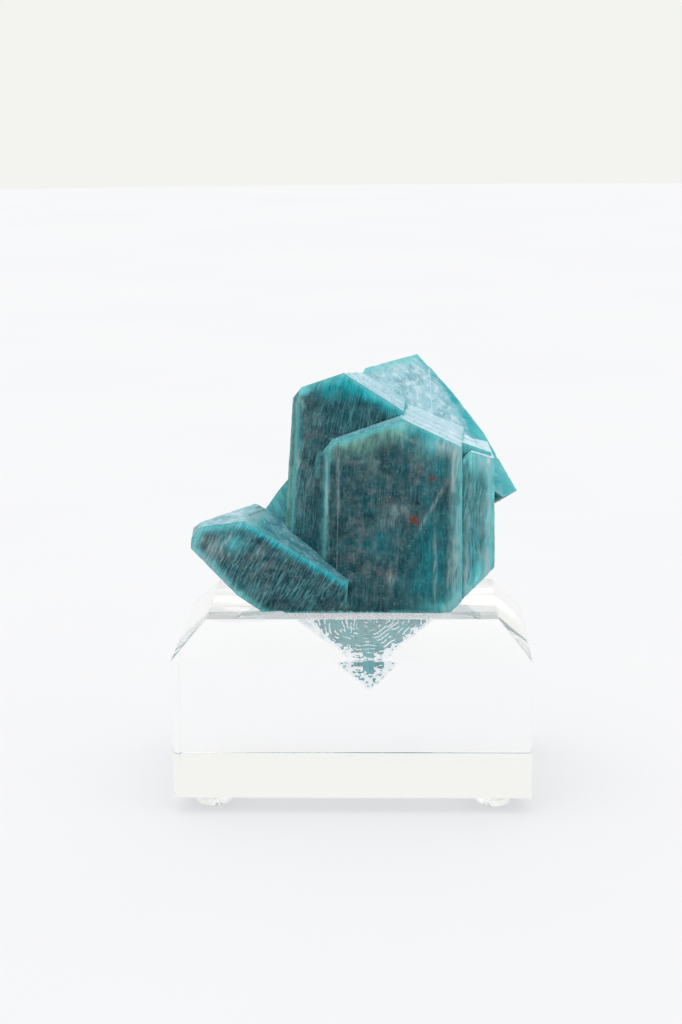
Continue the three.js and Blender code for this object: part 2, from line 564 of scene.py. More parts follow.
# ---------------------------------------------------------------- finishes


class Graph:
    """Adds nodes to a shader tree and links them."""

    MIX_INPUTS = (0, 6, 7)
    MIX_OUTPUT = 2

    def __init__(self, tree: Tree) -> None:
        """Takes the tree to draw in."""
        self.tree = tree

    def node(self, kind: str, **settings: object) -> Node:
        """Adds a node.

        Args:
            kind: the node's type.
            settings: its settings by name.

        Returns:
            The new node.
        """
        made = self.tree.nodes.new(kind)
        for name, value in settings.items():
            setattr(made, name, value)
        return made

    def feed(self, socket: Socket, value: Feed) -> None:
        """Links a socket to another, or sets its value.

        Args:
            socket: the input to feed.
            value: another node's output, or a plain value.
        """
        if isinstance(value, Socket):
            self.tree.links.new(value, socket)
        else:
            socket.default_value = value

    def math(self, operation: str, *values: Feed, clamp: bool = False) -> Socket:
        """Works out a number.

        Args:
            operation: the sum to do, in the shader's own word.
            values: its numbers, in order.
            clamp: keeps the result from 0 to 1.

        Returns:
            The result.
        """
        made = self.node("ShaderNodeMath", operation=operation, use_clamp=clamp)
        for socket, value in zip(made.inputs, values):
            self.feed(socket, value)
        return made.outputs[0]

    def times(self, *values: Feed, clamp: bool = False) -> Socket:
        """Multiplies two numbers."""
        return self.math("MULTIPLY", *values, clamp=clamp)

    def line(self, value: Feed, slope: Feed, start: Feed, clamp: bool = False) -> Socket:
        """Gives value times slope, plus start."""
        return self.math("MULTIPLY_ADD", value, slope, start, clamp=clamp)

    def vector(self, operation: str, one: Feed, two: Feed) -> Socket:
        """Works out a vector.

        Args:
            operation: the sum to do, in the shader's own word.
            one: the first vector.
            two: the second vector, or a number for all three axes.

        Returns:
            The result.
        """
        made = self.node("ShaderNodeVectorMath", operation=operation)
        self.feed(made.inputs[0], one)
        self.feed(made.inputs[1], two)
        return made.outputs[0]

    def blend(self, share: Feed, one: Feed, two: Feed, how: str = "MIX") -> Socket:
        """Blends two colours.

        Args:
            share: how much of the second colour shows.
            one: the first colour.
            two: the second colour.
            how: the kind of blend, in the shader's own word.

        Returns:
            The blended colour.
        """
        made = self.node("ShaderNodeMix", data_type="RGBA", blend_type=how)
        for number, value in zip(self.MIX_INPUTS, (share, one, two)):
            self.feed(made.inputs[number], value)
        return made.outputs[self.MIX_OUTPUT]

    def between(self, value: Feed, low: Feed, high: Feed) -> Socket:
        """Rises softly from 0 at low to 1 at high.

        Args:
            value: the value to judge.
            low: where the mask begins.
            high: where it is full.

        Returns:
            The mask.
        """
        made = self.node("ShaderNodeMapRange", interpolation_type="SMOOTHSTEP")
        for socket, number in zip(made.inputs, (value, low, high, 0.0, 1.0)):
            self.feed(socket, number)
        return made.outputs[0]

    def noise(self, place: Feed, scale: Feed, detail: float, rough: float) -> Socket:
        """Gives solid noise from 0 to 1.

        Args:
            place: where it is read.
            scale: how many waves fit into one unit.
            detail: how many finer layers it has.
            rough: how much the finer layers count.

        Returns:
            The noise.
        """
        made = self.node("ShaderNodeTexNoise", noise_dimensions="3D")
        settings = {"Vector": place, "Scale": scale, "Detail": detail, "Roughness": rough}
        for name, value in settings.items():
            self.feed(made.inputs[name], value)
        return made.outputs[0]

    def stored(self, name: str, output: str = "Fac") -> Socket:
        """Reads a number, or as "Vector" a vector, stored on the mesh."""
        return self.node("ShaderNodeAttribute", attribute_name=name).outputs[output]

    def place(self) -> Socket:
        """Gives the place on the piece, in millimetres."""
        coordinates = self.node("ShaderNodeTexCoord").outputs["Object"]
        return self.vector("MULTIPLY", coordinates, (1 / MM,) * 3)


@dataclass(frozen=True)
class Cloud:
    """Cloudy patches: their width, a shift, where they begin and are full, and how much they show."""

    size: float
    shift: float
    low: float
    high: float
    share: float = 1.0


@dataclass(frozen=True)
class Streak:
    """Streaks along the grain: waves a millimetre across and along, and the rest as clouds have it."""

    across: float
    along: float
    shift: float
    low: float
    high: float
    share: float = 1.0


@dataclass(frozen=True)
class Hair:
    """Hair lines along the grain: waves a millimetre across and along, a shift, and their width."""

    across: float
    along: float
    shift: float
    width: float
    share: float = 1.0


@dataclass(frozen=True)
class Speck:
    """Scattered specks: the size of their cells, a shift, and the part of the cells that has one."""

    size: float
    shift: float
    part: float
    share: float = 1.0


@dataclass(frozen=True)
class Band:
    """A ragged band beside the edges whose distance the mesh stores under a name."""

    edge: str
    reach: float
    shift: float
    share: float = 1.0


Spec = Union[Cloud, Streak, Hair, Speck, Band]


class Effects:
    """The effects that more than one finish uses, each a node group made once."""

    STREAK_NOISE = (1.0, 0.45)
    HAIR_NOISE = (0.6, 0.5)
    CLOUD_NOISE = (4.0, 0.6)
    TEAR_NOISE = (4.0, 0.65)
    TEAR_SCALE = 0.7
    TEAR_SPREAD = (2.0, -0.1)
    HAIR_CORE = 0.5
    SPECK_EDGE = 0.34
    SPECK_CORE = 0.12
    BAND_FULL = 0.15
    LEAST_REACH = 0.01

    def __init__(self) -> None:
        """Makes the groups, each kept under the kind of its settings."""
        self.groups: Dict[type, Tree] = {
            Cloud: self._mottle(),
            Streak: self._streaks(),
            Hair: self._hairs(),
            Speck: self._specks(),
            Band: self._ragged(),
        }

    @staticmethod
    def _open(name: str, vector: str, numbers: Dict[str, float]) -> Tuple[Graph, Dict[str, Socket]]:
        """Opens a group with one output called Mask.

        Args:
            name: the group's name.
            vector: the name of its vector input.
            numbers: its number inputs by name, with their usual values.

        Returns:
            The graph inside the group, and its inputs by name.
        """
        tree = bpy.data.node_groups.new(name, "ShaderNodeTree")
        tree.interface.new_socket(vector, in_out="INPUT", socket_type="NodeSocketVector")
        for title, value in numbers.items():
            socket = tree.interface.new_socket(title, in_out="INPUT", socket_type="NodeSocketFloat")
            socket.default_value = value
        tree.interface.new_socket("Mask", in_out="OUTPUT", socket_type="NodeSocketFloat")
        graph = Graph(tree)
        entry = graph.node("NodeGroupInput")
        return graph, {socket.name: socket for socket in entry.outputs if socket.name}

    @staticmethod
    def _close(graph: Graph, mask: Socket) -> Tree:
        """Leads the mask out of the group."""
        graph.feed(graph.node("NodeGroupOutput").inputs["Mask"], mask)
        return graph.tree

    @staticmethod
    def _drawn_out(graph: Graph, given: Dict[str, Socket], texture: Pair) -> Socket:
        """Gives noise that is drawn out along the grain.

        Args:
            graph: the graph to draw in.
            given: the group's inputs.
            texture: the noise's detail and roughness.

        Returns:
            The noise.
        """
        scale = graph.node("ShaderNodeCombineXYZ")
        for socket, value in zip(scale.inputs, (given["Across"], given["Along"], 1.0)):
            graph.feed(socket, value)
        run = graph.vector("MULTIPLY", given["Grain"], scale.outputs[0])
        return graph.noise(graph.vector("ADD", run, given["Shift"]), 1.0, *texture)

    def _streaks(self) -> Tree:
        """Makes soft streaks that run along the grain.

        Returns:
            The group.
        """
        numbers = {"Across": 2.0, "Along": 0.1, "Shift": 0.0, "Low": 0.5, "High": 0.7}
        graph, given = self._open("streaks along the grain", "Grain", numbers)
        value = self._drawn_out(graph, given, self.STREAK_NOISE)
        return self._close(graph, graph.between(value, given["Low"], given["High"]))

    def _hairs(self) -> Tree:
        """Makes hair-thin wavy lines that run along the grain, join and part.

        Returns:
            The group.
        """
        numbers = {"Across": 1.3, "Along": 0.07, "Shift": 0.0, "Width": 0.08}
        graph, given = self._open("hair lines along the grain", "Grain", numbers)
        value = self._drawn_out(graph, given, self.HAIR_NOISE)
        away = graph.math("ABSOLUTE", graph.math("SUBTRACT", value, 0.5))
        core = graph.times(given["Width"], self.HAIR_CORE)
        return self._close(graph, graph.between(away, given["Width"], core))

    def _mottle(self) -> Tree:
        """Makes soft cloudy patches.

        Returns:
            The group.
        """
        numbers = {"Size": 4.0, "Shift": 0.0, "Low": 0.4, "High": 0.6}
        graph, given = self._open("cloudy patches", "Place", numbers)
        scale = graph.math("DIVIDE", 1.0, given["Size"])
        place = graph.vector("ADD", given["Place"], given["Shift"])
        value = graph.noise(place, scale, *self.CLOUD_NOISE)
        return self._close(graph, graph.between(value, given["Low"], given["High"]))

    def _specks(self) -> Tree:
        """Makes small scattered specks.

        Returns:
            The group.
        """
        numbers = {"Size": 1.0, "Shift": 0.0, "Part": 0.2}
        graph, given = self._open("scattered specks", "Place", numbers)
        cells = graph.node("ShaderNodeTexVoronoi", voronoi_dimensions="3D", feature="F1")
        graph.feed(cells.inputs["Vector"], graph.vector("ADD", given["Place"], given["Shift"]))
        graph.feed(cells.inputs["Scale"], graph.math("DIVIDE", 1.0, given["Size"]))
        near = graph.between(cells.outputs["Distance"], self.SPECK_EDGE, self.SPECK_CORE)
        chosen = graph.node("ShaderNodeSeparateColor")
        graph.feed(chosen.inputs[0], cells.outputs["Color"])
        picked = graph.math("LESS_THAN", chosen.outputs[0], given["Part"])
        return self._close(graph, graph.times(near, picked))

    def _ragged(self) -> Tree:
        """Makes a ragged band that is full at distance 0 and gone at its reach.

        Returns:
            The group.
        """
        numbers = {"Distance": 0.0, "Reach": 1.0, "Shift": 0.0}
        graph, given = self._open("ragged edge band", "Place", numbers)
        place = graph.vector("ADD", given["Place"], given["Shift"])
        tear = graph.noise(place, self.TEAR_SCALE, *self.TEAR_NOISE)
        reach = graph.times(given["Reach"], graph.line(tear, *self.TEAR_SPREAD))
        share = graph.math("DIVIDE", given["Distance"], graph.math("MAXIMUM", reach, self.LEAST_REACH))
        return self._close(graph, graph.between(share, 1.0, self.BAND_FULL))


class Surface:
    """A material while it is made: its graph and shader, the effects, and its colour so far."""

    def __init__(self, name: str, effects: Effects) -> None:
        """Starts a material.

        Args:
            name: the material's name.
            effects: the shared node groups.
        """
        self.material = bpy.data.materials.new(name)
        self.material.use_nodes = True
        self.effects = effects
        self.graph = Graph(self.material.node_tree)
        self.shader = next(n for n in self.material.node_tree.nodes if n.type == "BSDF_PRINCIPLED")
        self.given: Dict[str, Feed] = {"Place": self.graph.place()}
        self.colour: Feed = (1.0, 1.0, 1.0, 1.0)

    def plain(self, **values: Feed) -> None:
        """Sets values that are the same all over on the shader's own sockets."""
        for name, value in values.items():
            self.shader.inputs[name.replace("_", " ")].default_value = value

    def varied(self, name: str, value: Socket) -> None:
        """Feeds one of the shader's sockets with what changes over the surface."""
        self.graph.feed(self.shader.inputs[name], value)

    def cover(self, share: Feed, colour: Feed, how: str = "MIX") -> None:
        """Lays a colour over the colour so far."""
        self.colour = self.graph.blend(share, self.colour, colour, how)

    def mask(self, spec: Spec) -> Socket:
        """Places an effect.

        Args:
            spec: its settings.

        Returns:
            Its mask, times how much it shows.
        """
        made = self.graph.node("ShaderNodeGroup", node_tree=self.effects.groups[type(spec)])
        values = {**self.given, **{name.title(): value for name, value in vars(spec).items()}}
        if isinstance(spec, Band):
            values["Distance"] = self.graph.stored(spec.edge)
        for socket in made.inputs:
            self.graph.feed(socket, values[socket.name])
        return made.outputs[0] if spec.share == 1.0 else self.graph.times(made.outputs[0], spec.share)


class Tint(Enum):
    """What a dab or rim on the stone does to its colour. The two cyan tints are partly the stone's own colour
    and partly painted light: light shining through near thin edges, and light laid over faces in shade.
    """

    HAZE = "haze"
    FRESH = "fresh"
    GLOW = "glow"
    PALE = "pale"
    OLIVE = "olive"
    RUST = "rust"
    INK = "ink"


class Growth(Enum):
    """The two kinds of face on a crystal: its dark upright sides, and its sloping tops, which are painted
    paler, partly for their own whitish frosting and partly as a painted sheen of the light overhead.
    """

    PRISM = "prism"
    TOP = "top"


@dataclass(frozen=True)
class AmazoniteFinish:
    """Blue-green feldspar: teal ground, grey and mauve haze, white perthite along the crystals."""

    deep: Colour = paint(0, 49, 59)
    body: Colour = paint(2, 68, 77)
    haze: Colour = paint(62, 88, 92)
    mauve: Colour = paint(88, 92, 98)
    thread: Colour = paint(72, 111, 116)
    # Bright cyan: partly the stone's clearer colour, partly painted light shining through its thin top edges.
    fresh: Colour = paint(0, 158, 170)
    # Pale cyan, partly the stone's own colour and partly painted light: light shining through thin edges and
    # light laid over faces in shade.
    glow: Colour = paint(106, 194, 199)
    olive: Colour = paint(110, 156, 144)
    milk: Colour = paint(158, 182, 186)
    rust: Colour = paint(112, 56, 36)
    ink: Colour = paint(10, 24, 28)
    # The sheen colours are the tops' ground: partly the stone's own whitish frosting, partly a painted sheen
    # standing for the overhead light the tops reflect.
    sheen_deep: Colour = paint(62, 142, 158)
    sheen: Colour = paint(146, 192, 206)
    sheen_light: Colour = paint(212, 230, 242)
    albite: Colour = paint(196, 188, 164)

    ior: float = 1.53
    prism_gloss: float = 0.1
    top_gloss: float = 0.45
    polish: float = 0.34
    satin: Cloud = Cloud(2.2, 31.0, 0.3, 0.75, 0.22)

    prism_cloud: Cloud = Cloud(6.0, 3.0, 0.36, 0.64)
    mauve_cloud: Cloud = Cloud(5.0, 52.0, 0.42, 0.66)
    least_haze: float = 0.05
    haze_veil: Streak = Streak(0.55, 0.16, 5.0, 0.38, 0.64, 0.4)
    haze_curd: Cloud = Cloud(1.7, 8.0, 0.42, 0.64, 0.65)
    sugar: Cloud = Cloud(0.7, 61.0, 0.48, 0.66, 0.3)

    top_cloud: Cloud = Cloud(3.6, 41.0, 0.38, 0.62, 0.75)
    top_rise: Pair = (1.2, -0.6)
    top_line: Streak = Streak(2.2, 0.12, 2.0, 0.46, 0.62)
    top_line_share: float = 0.8
    top_curd: Cloud = Cloud(1.5, 47.0, 0.44, 0.68)
    top_curd_most: float = 0.6
    top_dull: Pair = (-0.9, 0.7)
    top_shade: Cloud = Cloud(1.2, 57.0, 0.4, 0.62)
    grit: Speck = Speck(0.8, 4.0, 0.45)
    grit_rise: Pair = (0.7, 0.25)
    # Painted light: a sheen above 1 whitens a top or a step's riser further.
    top_painted_light: Pair = (3.0, -3.0)

    torn: Streak = Streak(1.1, 0.3, 13.0, 0.32, 0.66, 0.6)
    torn_cloud: Cloud = Cloud(1.8, 36.0, 0.36, 0.64, 0.4)
    fresh_and_lit_rise: Pair = (0.6, 0.4)
    olive_rise: Pair = (0.6, 0.25)
    pale_cyan_and_light_rise: Pair = (0.5, 0.45)

    dark_streak: Streak = Streak(1.1, 0.16, 17.0, 0.46, 0.7, 0.3)
    threads: Tuple[Tuple[Hair, float], ...] = (
        (Hair(1.2, 0.1, 9.0, 0.05, 0.7), 5.0),
        (Hair(1.9, 0.14, 23.0, 0.075, 0.65), 3.4),
        (Hair(2.8, 0.2, 33.0, 0.11, 0.45), 2.6),
    )
    thread_patch: Pair = (0.38, 0.62)
    thread_rise: Pair = (0.9, 0.1)
    top_threads: float = 0.25

    pale_streak: Streak = Streak(2.0, 0.3, 43.0, 0.36, 0.6)
    pale_rise: Pair = (0.8, 0.25)
    frost_rise: Pair = (2.0, -2.0)
    # Partly wear, partly painted light: a pale cyan band along the outer edges stands for their highlight and
    # the light shining through them.
    worn_edge_highlight: Band = Band("edge_mm", 0.9, 6.0, 0.34)
    # Painted highlight along the convex edges of the growth steps.
    step_highlight: Band = Band("step_mm", 0.3, 12.0, 0.2)
    # Painted shade: darkens the concave crevices between faces and crystals.
    seam: Band = Band("seam_mm", 0.5, 16.0)
    prism_crevice_shade: float = 0.18
    top_crevice_shade: float = 0.03
    stain: Cloud = Cloud(0.6, 27.0, 0.36, 0.6)
    stain_rise: Pair = (0.8, 0.15)
    glint: Speck = Speck(0.8, 19.0, 0.05, 0.3)
    crust: Cloud = Cloud(1.4, 24.0, 0.3, 0.62)

    ridge: Hair = Hair(1.0, 0.09, 9.0, 0.12, 0.35)
    swell: Streak = Streak(0.9, 0.08, 3.0, 0.3, 0.7, 0.6)
    tooth: Triple = (2.6, 5.0, 0.65)
    tooth_height: float = 0.9
    relief_strength: float = 0.4
    relief_mm: float = 0.05

    def material(self, effects: Effects, growth: Growth) -> Material:
        """Builds the stone's material for one kind of face.

        Args:
            effects: the shared node groups.
            growth: the kind of face.

        Returns:
            The material.
        """
        top = growth is Growth.TOP
        surface = Surface(f"rough amazonite {growth.value}", effects)
        surface.given["Grain"] = surface.graph.stored("grain", "Vector")
        if top:
            self._lay_top(surface)
        else:
            self._lay_prism(surface)
        self._tints(surface)
        self._threads(surface, self.top_threads if top else 1.0)
        self._marks(surface, self.top_crevice_shade if top else self.prism_crevice_shade)
        surface.varied("Base Color", surface.colour)
        surface.varied("Roughness", surface.graph.math("ADD", surface.mask(self.satin), self.polish))
        surface.plain(Specular_IOR_Level=self.top_gloss if top else self.prism_gloss, IOR=self.ior)
        self._relief(surface)
        return surface.material

    def _lay_prism(self, surface: Surface) -> None:
        """Lays the dark ground of the upright faces, with their grey and mauve clouds.

        Args:
            surface: the stone's surface.
        """
        graph = surface.graph
        surface.colour = graph.blend(surface.mask(self.prism_cloud), self.deep, self.body)
        grey = graph.blend(surface.mask(self.mauve_cloud), self.haze, self.mauve)
        share = graph.math("ADD", surface.mask(self.haze_curd), surface.mask(self.haze_veil))
        amount = graph.math("ADD", graph.stored(Tint.HAZE.value), self.least_haze)
        surface.cover(graph.times(amount, share, clamp=True), grey)
        surface.cover(surface.mask(self.sugar), self.thread, "ADD")

    def _lay_top(self, surface: Surface) -> None:
        """Lays the pale ground of the sloping tops: partly their own frosting, and partly a painted sheen
        that whitens them the more sheen a top is given.

        Args:
            surface: the stone's surface.
        """
        graph = surface.graph
        sheen = graph.stored("sheen")
        rise = graph.line(sheen, *self.top_rise)
        share = graph.math("ADD", surface.mask(self.top_cloud), rise, clamp=True)
        surface.colour = graph.blend(share, self.sheen_deep, self.sheen)
        # light: the painted sheen squared, which whitens the tops' lines and curds.
        light = graph.times(sheen, sheen)
        strength = graph.times(light, graph.stored("threads"))
        lined = graph.times(surface.mask(self.top_line), strength, clamp=True)
        surface.cover(graph.times(lined, self.top_line_share), self.sheen_light)
        most = graph.math("MINIMUM", light, self.top_curd_most)
        surface.cover(graph.times(surface.mask(self.top_curd), most), self.sheen_light)
        dull = graph.line(sheen, *self.top_dull, clamp=True)
        surface.cover(graph.times(surface.mask(self.top_shade), dull), self.deep)
        bright = graph.line(dull, *self.grit_rise)
        surface.cover(graph.times(surface.mask(self.grit), bright), self.sheen_light)
        # Painted light: whitens the risers and tops that are given a sheen above 1.
        surface.cover(graph.line(sheen, *self.top_painted_light, clamp=True), self.sheen_light)

    def _tints(self, surface: Surface) -> None:
        """Lays olive, and bright and pale cyan, near the edges and where the crystal is clearer. The cyans
        are partly the stone's own colour and partly painted light, shining through thin edges and laid over
        shaded faces.

        Args:
            surface: the stone's surface.
        """
        graph = surface.graph
        torn = graph.math("ADD", surface.mask(self.torn), surface.mask(self.torn_cloud))
        # The two cyans are partly painted light through thin edges and over shaded faces; olive is the
        # stone's own.
        for tint, colour, rise in (
            (Tint.FRESH, self.fresh, self.fresh_and_lit_rise),
            (Tint.OLIVE, self.olive, self.olive_rise),
            (Tint.GLOW, self.glow, self.pale_cyan_and_light_rise),
        ):
            share = graph.times(graph.stored(tint.value), graph.line(torn, *rise), clamp=True)
            surface.cover(share, colour)

    def _threads(self, surface: Surface, share: float) -> None:
        """Lays dark streaks and hair-thin white perthite threads along the grain.

        Args:
            surface: the stone's surface.
            share: how strongly they show on this kind of face.
        """
        graph = surface.graph
        surface.cover(graph.times(surface.mask(self.dark_streak), share), self.deep)
        strength = graph.times(graph.stored("threads"), share)
        for hair, size in self.threads:
            patch = surface.mask(Cloud(size, hair.shift, *self.thread_patch))
            amount = graph.times(surface.mask(hair), graph.line(patch, *self.thread_rise))
            surface.cover(graph.times(amount, strength, clamp=True), self.thread, "ADD")

    def _marks(self, surface: Surface, dark: float) -> None:
        """Lays pale streaks, worn edges with a painted highlight, painted highlights along growth steps,
        painted shade in the crevices, stains, glints and albite crust.

        Args:
            surface: the stone's surface.
            dark: how dark the painted crevice shade is on this kind of face.
        """
        graph = surface.graph
        pale = graph.stored(Tint.PALE.value)
        torn = graph.line(surface.mask(self.pale_streak), *self.pale_rise)
        surface.cover(graph.times(pale, torn, clamp=True), self.milk)
        surface.cover(graph.line(pale, *self.frost_rise, clamp=True), self.sheen_light)
        # Worn edges with a painted highlight and painted light through them.
        surface.cover(surface.mask(self.worn_edge_highlight), self.glow)
        # Painted highlight along the growth steps' edges.
        surface.cover(surface.mask(self.step_highlight), self.sheen_light)
        # Painted shade in the concave crevices.
        surface.cover(graph.times(surface.mask(self.seam), dark), self.deep)
        spot = graph.line(surface.mask(self.stain), *self.stain_rise)
        surface.cover(graph.times(graph.stored(Tint.RUST.value), spot, clamp=True), self.rust)
        surface.cover(graph.math("MINIMUM", graph.stored(Tint.INK.value), 1.0), self.ink)
        surface.cover(surface.mask(self.glint), self.milk)
        surface.cover(graph.times(graph.stored("albite"), surface.mask(self.crust)), self.albite)

    def _relief(self, surface: Surface) -> None:
        """Raises fine striae and pits that are too small for the mesh.

        Args:
            surface: the stone's surface.
        """
        graph = surface.graph
        height = graph.math("ADD", surface.mask(self.swell), surface.mask(self.ridge))
        tooth = graph.noise(surface.given["Place"], *self.tooth)
        bump = graph.node("ShaderNodeBump")
        bump.inputs["Strength"].default_value = self.relief_strength
        bump.inputs["Distance"].default_value = self.relief_mm * MM
        graph.feed(bump.inputs["Height"], graph.line(tooth, self.tooth_height, height))
        surface.varied("Normal", bump.outputs[0])


@dataclass(frozen=True)
class ClearFinish:
    """A clear cast or moulded plastic with light handling marks.

    `veil` is the share that scatters white instead of passing, and `glint` an emission that paints in
    the lamplight that scored places catch.
    """

    name: str
    colour: Colour
    ior: float
    polish: float
    handled: float
    veil: float = 0.0
    glint: float = 0.0
    smudge: Cloud = Cloud(11.0, 5.0, 0.5, 0.75)
    lint: Speck = Speck(2.4, 15.0, 0.06, 2.0)

    def material(self, effects: Effects) -> Material:
        """Builds the material.

        Args:
            effects: the shared node groups.

        Returns:
            The material.
        """
        surface = Surface(self.name, effects)
        surface.plain(
            Base_Color=self.colour,
            Metallic=0.0,
            Transmission_Weight=1.0 - self.veil,
            IOR=self.ior,
            Emission_Color=self.colour,
            Emission_Strength=self.glint,
        )
        marks = surface.graph.math("ADD", surface.mask(self.lint), surface.mask(self.smudge))
        surface.varied("Roughness", surface.graph.line(marks, self.handled, self.polish))
        return surface.material


@dataclass(frozen=True)
class FloorFinish:
    """A plain pale floor, lit a little from below."""

    colour: Colour = paint(152, 152, 154)
    shade: Colour = paint(149, 149, 152)
    light: Colour = (0.98, 0.98, 1.0, 1.0)
    glow: float = 0.565
    roughness: float = 0.5
    cloud: Cloud = Cloud(240.0, 1.0, 0.3, 0.7)

    def material(self, effects: Effects) -> Material:
        """Builds the floor's material.

        Args:
            effects: the shared node groups.

        Returns:
            The material.
        """
        surface = Surface("pale floor", effects)
        ground = surface.graph.blend(surface.mask(self.cloud), self.colour, self.shade)
        surface.varied("Base Color", ground)
        surface.plain(Roughness=self.roughness, Specular_IOR_Level=0.0)
        surface.plain(Emission_Color=self.light, Emission_Strength=self.glow)
        return surface.material


# ---------------------------------------------------------------- the stone


@dataclass(frozen=True)
class Crystal:
    """One crystal of the cluster, as it was laid out for the solid.

    A face is its bearing, its elevation and its distance from the centre. `grain` is the bearing
    and elevation that the crystal grew along, and `domes` gives its sloping tops their sheen, which
    paints them paler: partly their own whitish frosting, partly a painted sheen of the light overhead.
    """

    centre: Triple
    grain: Pair
    faces: Dict[str, Triple]
    domes: Dict[str, float] = field(default_factory=dict)
    haze: float = 0.4
    threads: float = 0.4
    # Pale cyan over the upright faces, partly the crystal's own colour and partly painted light.
    glow: float = 0.0


@dataclass(frozen=True)
class Rim:
    """A tint on a crystal's face along its edge with another, or with another crystal.face."""

    face: str
    along: str
    tint: Tint
    reach: float
    strength: float


@dataclass(frozen=True)
class Dab:
    """A soft patch on a crystal's upright faces: its middle, half its width and height, its lean."""

    x: float
    z: float
    width: float
    height: float
    strength: float
    lean: float = 0.0

    def at(self, points: Array) -> Array:
        """Works out how much of the patch lies on some points.

        Args:
            points: one row a point.

        Returns:
            One value a point.
        """
        across, up = points[:, 0] - self.x, points[:, 2] - self.z
        turn = math.radians(self.lean)
        one = (across * math.cos(turn) - up * math.sin(turn)) / self.width
        two = (across * math.sin(turn) + up * math.cos(turn)) / self.height
        return self.strength * np.exp(-(one**2) - two**2)


@dataclass(frozen=True)
class Chip:
    """A small break in the surface, its place and how wide and deep it is."""

    at: Triple
    width: float
    depth: float


FRONT = (-3.5, -4)

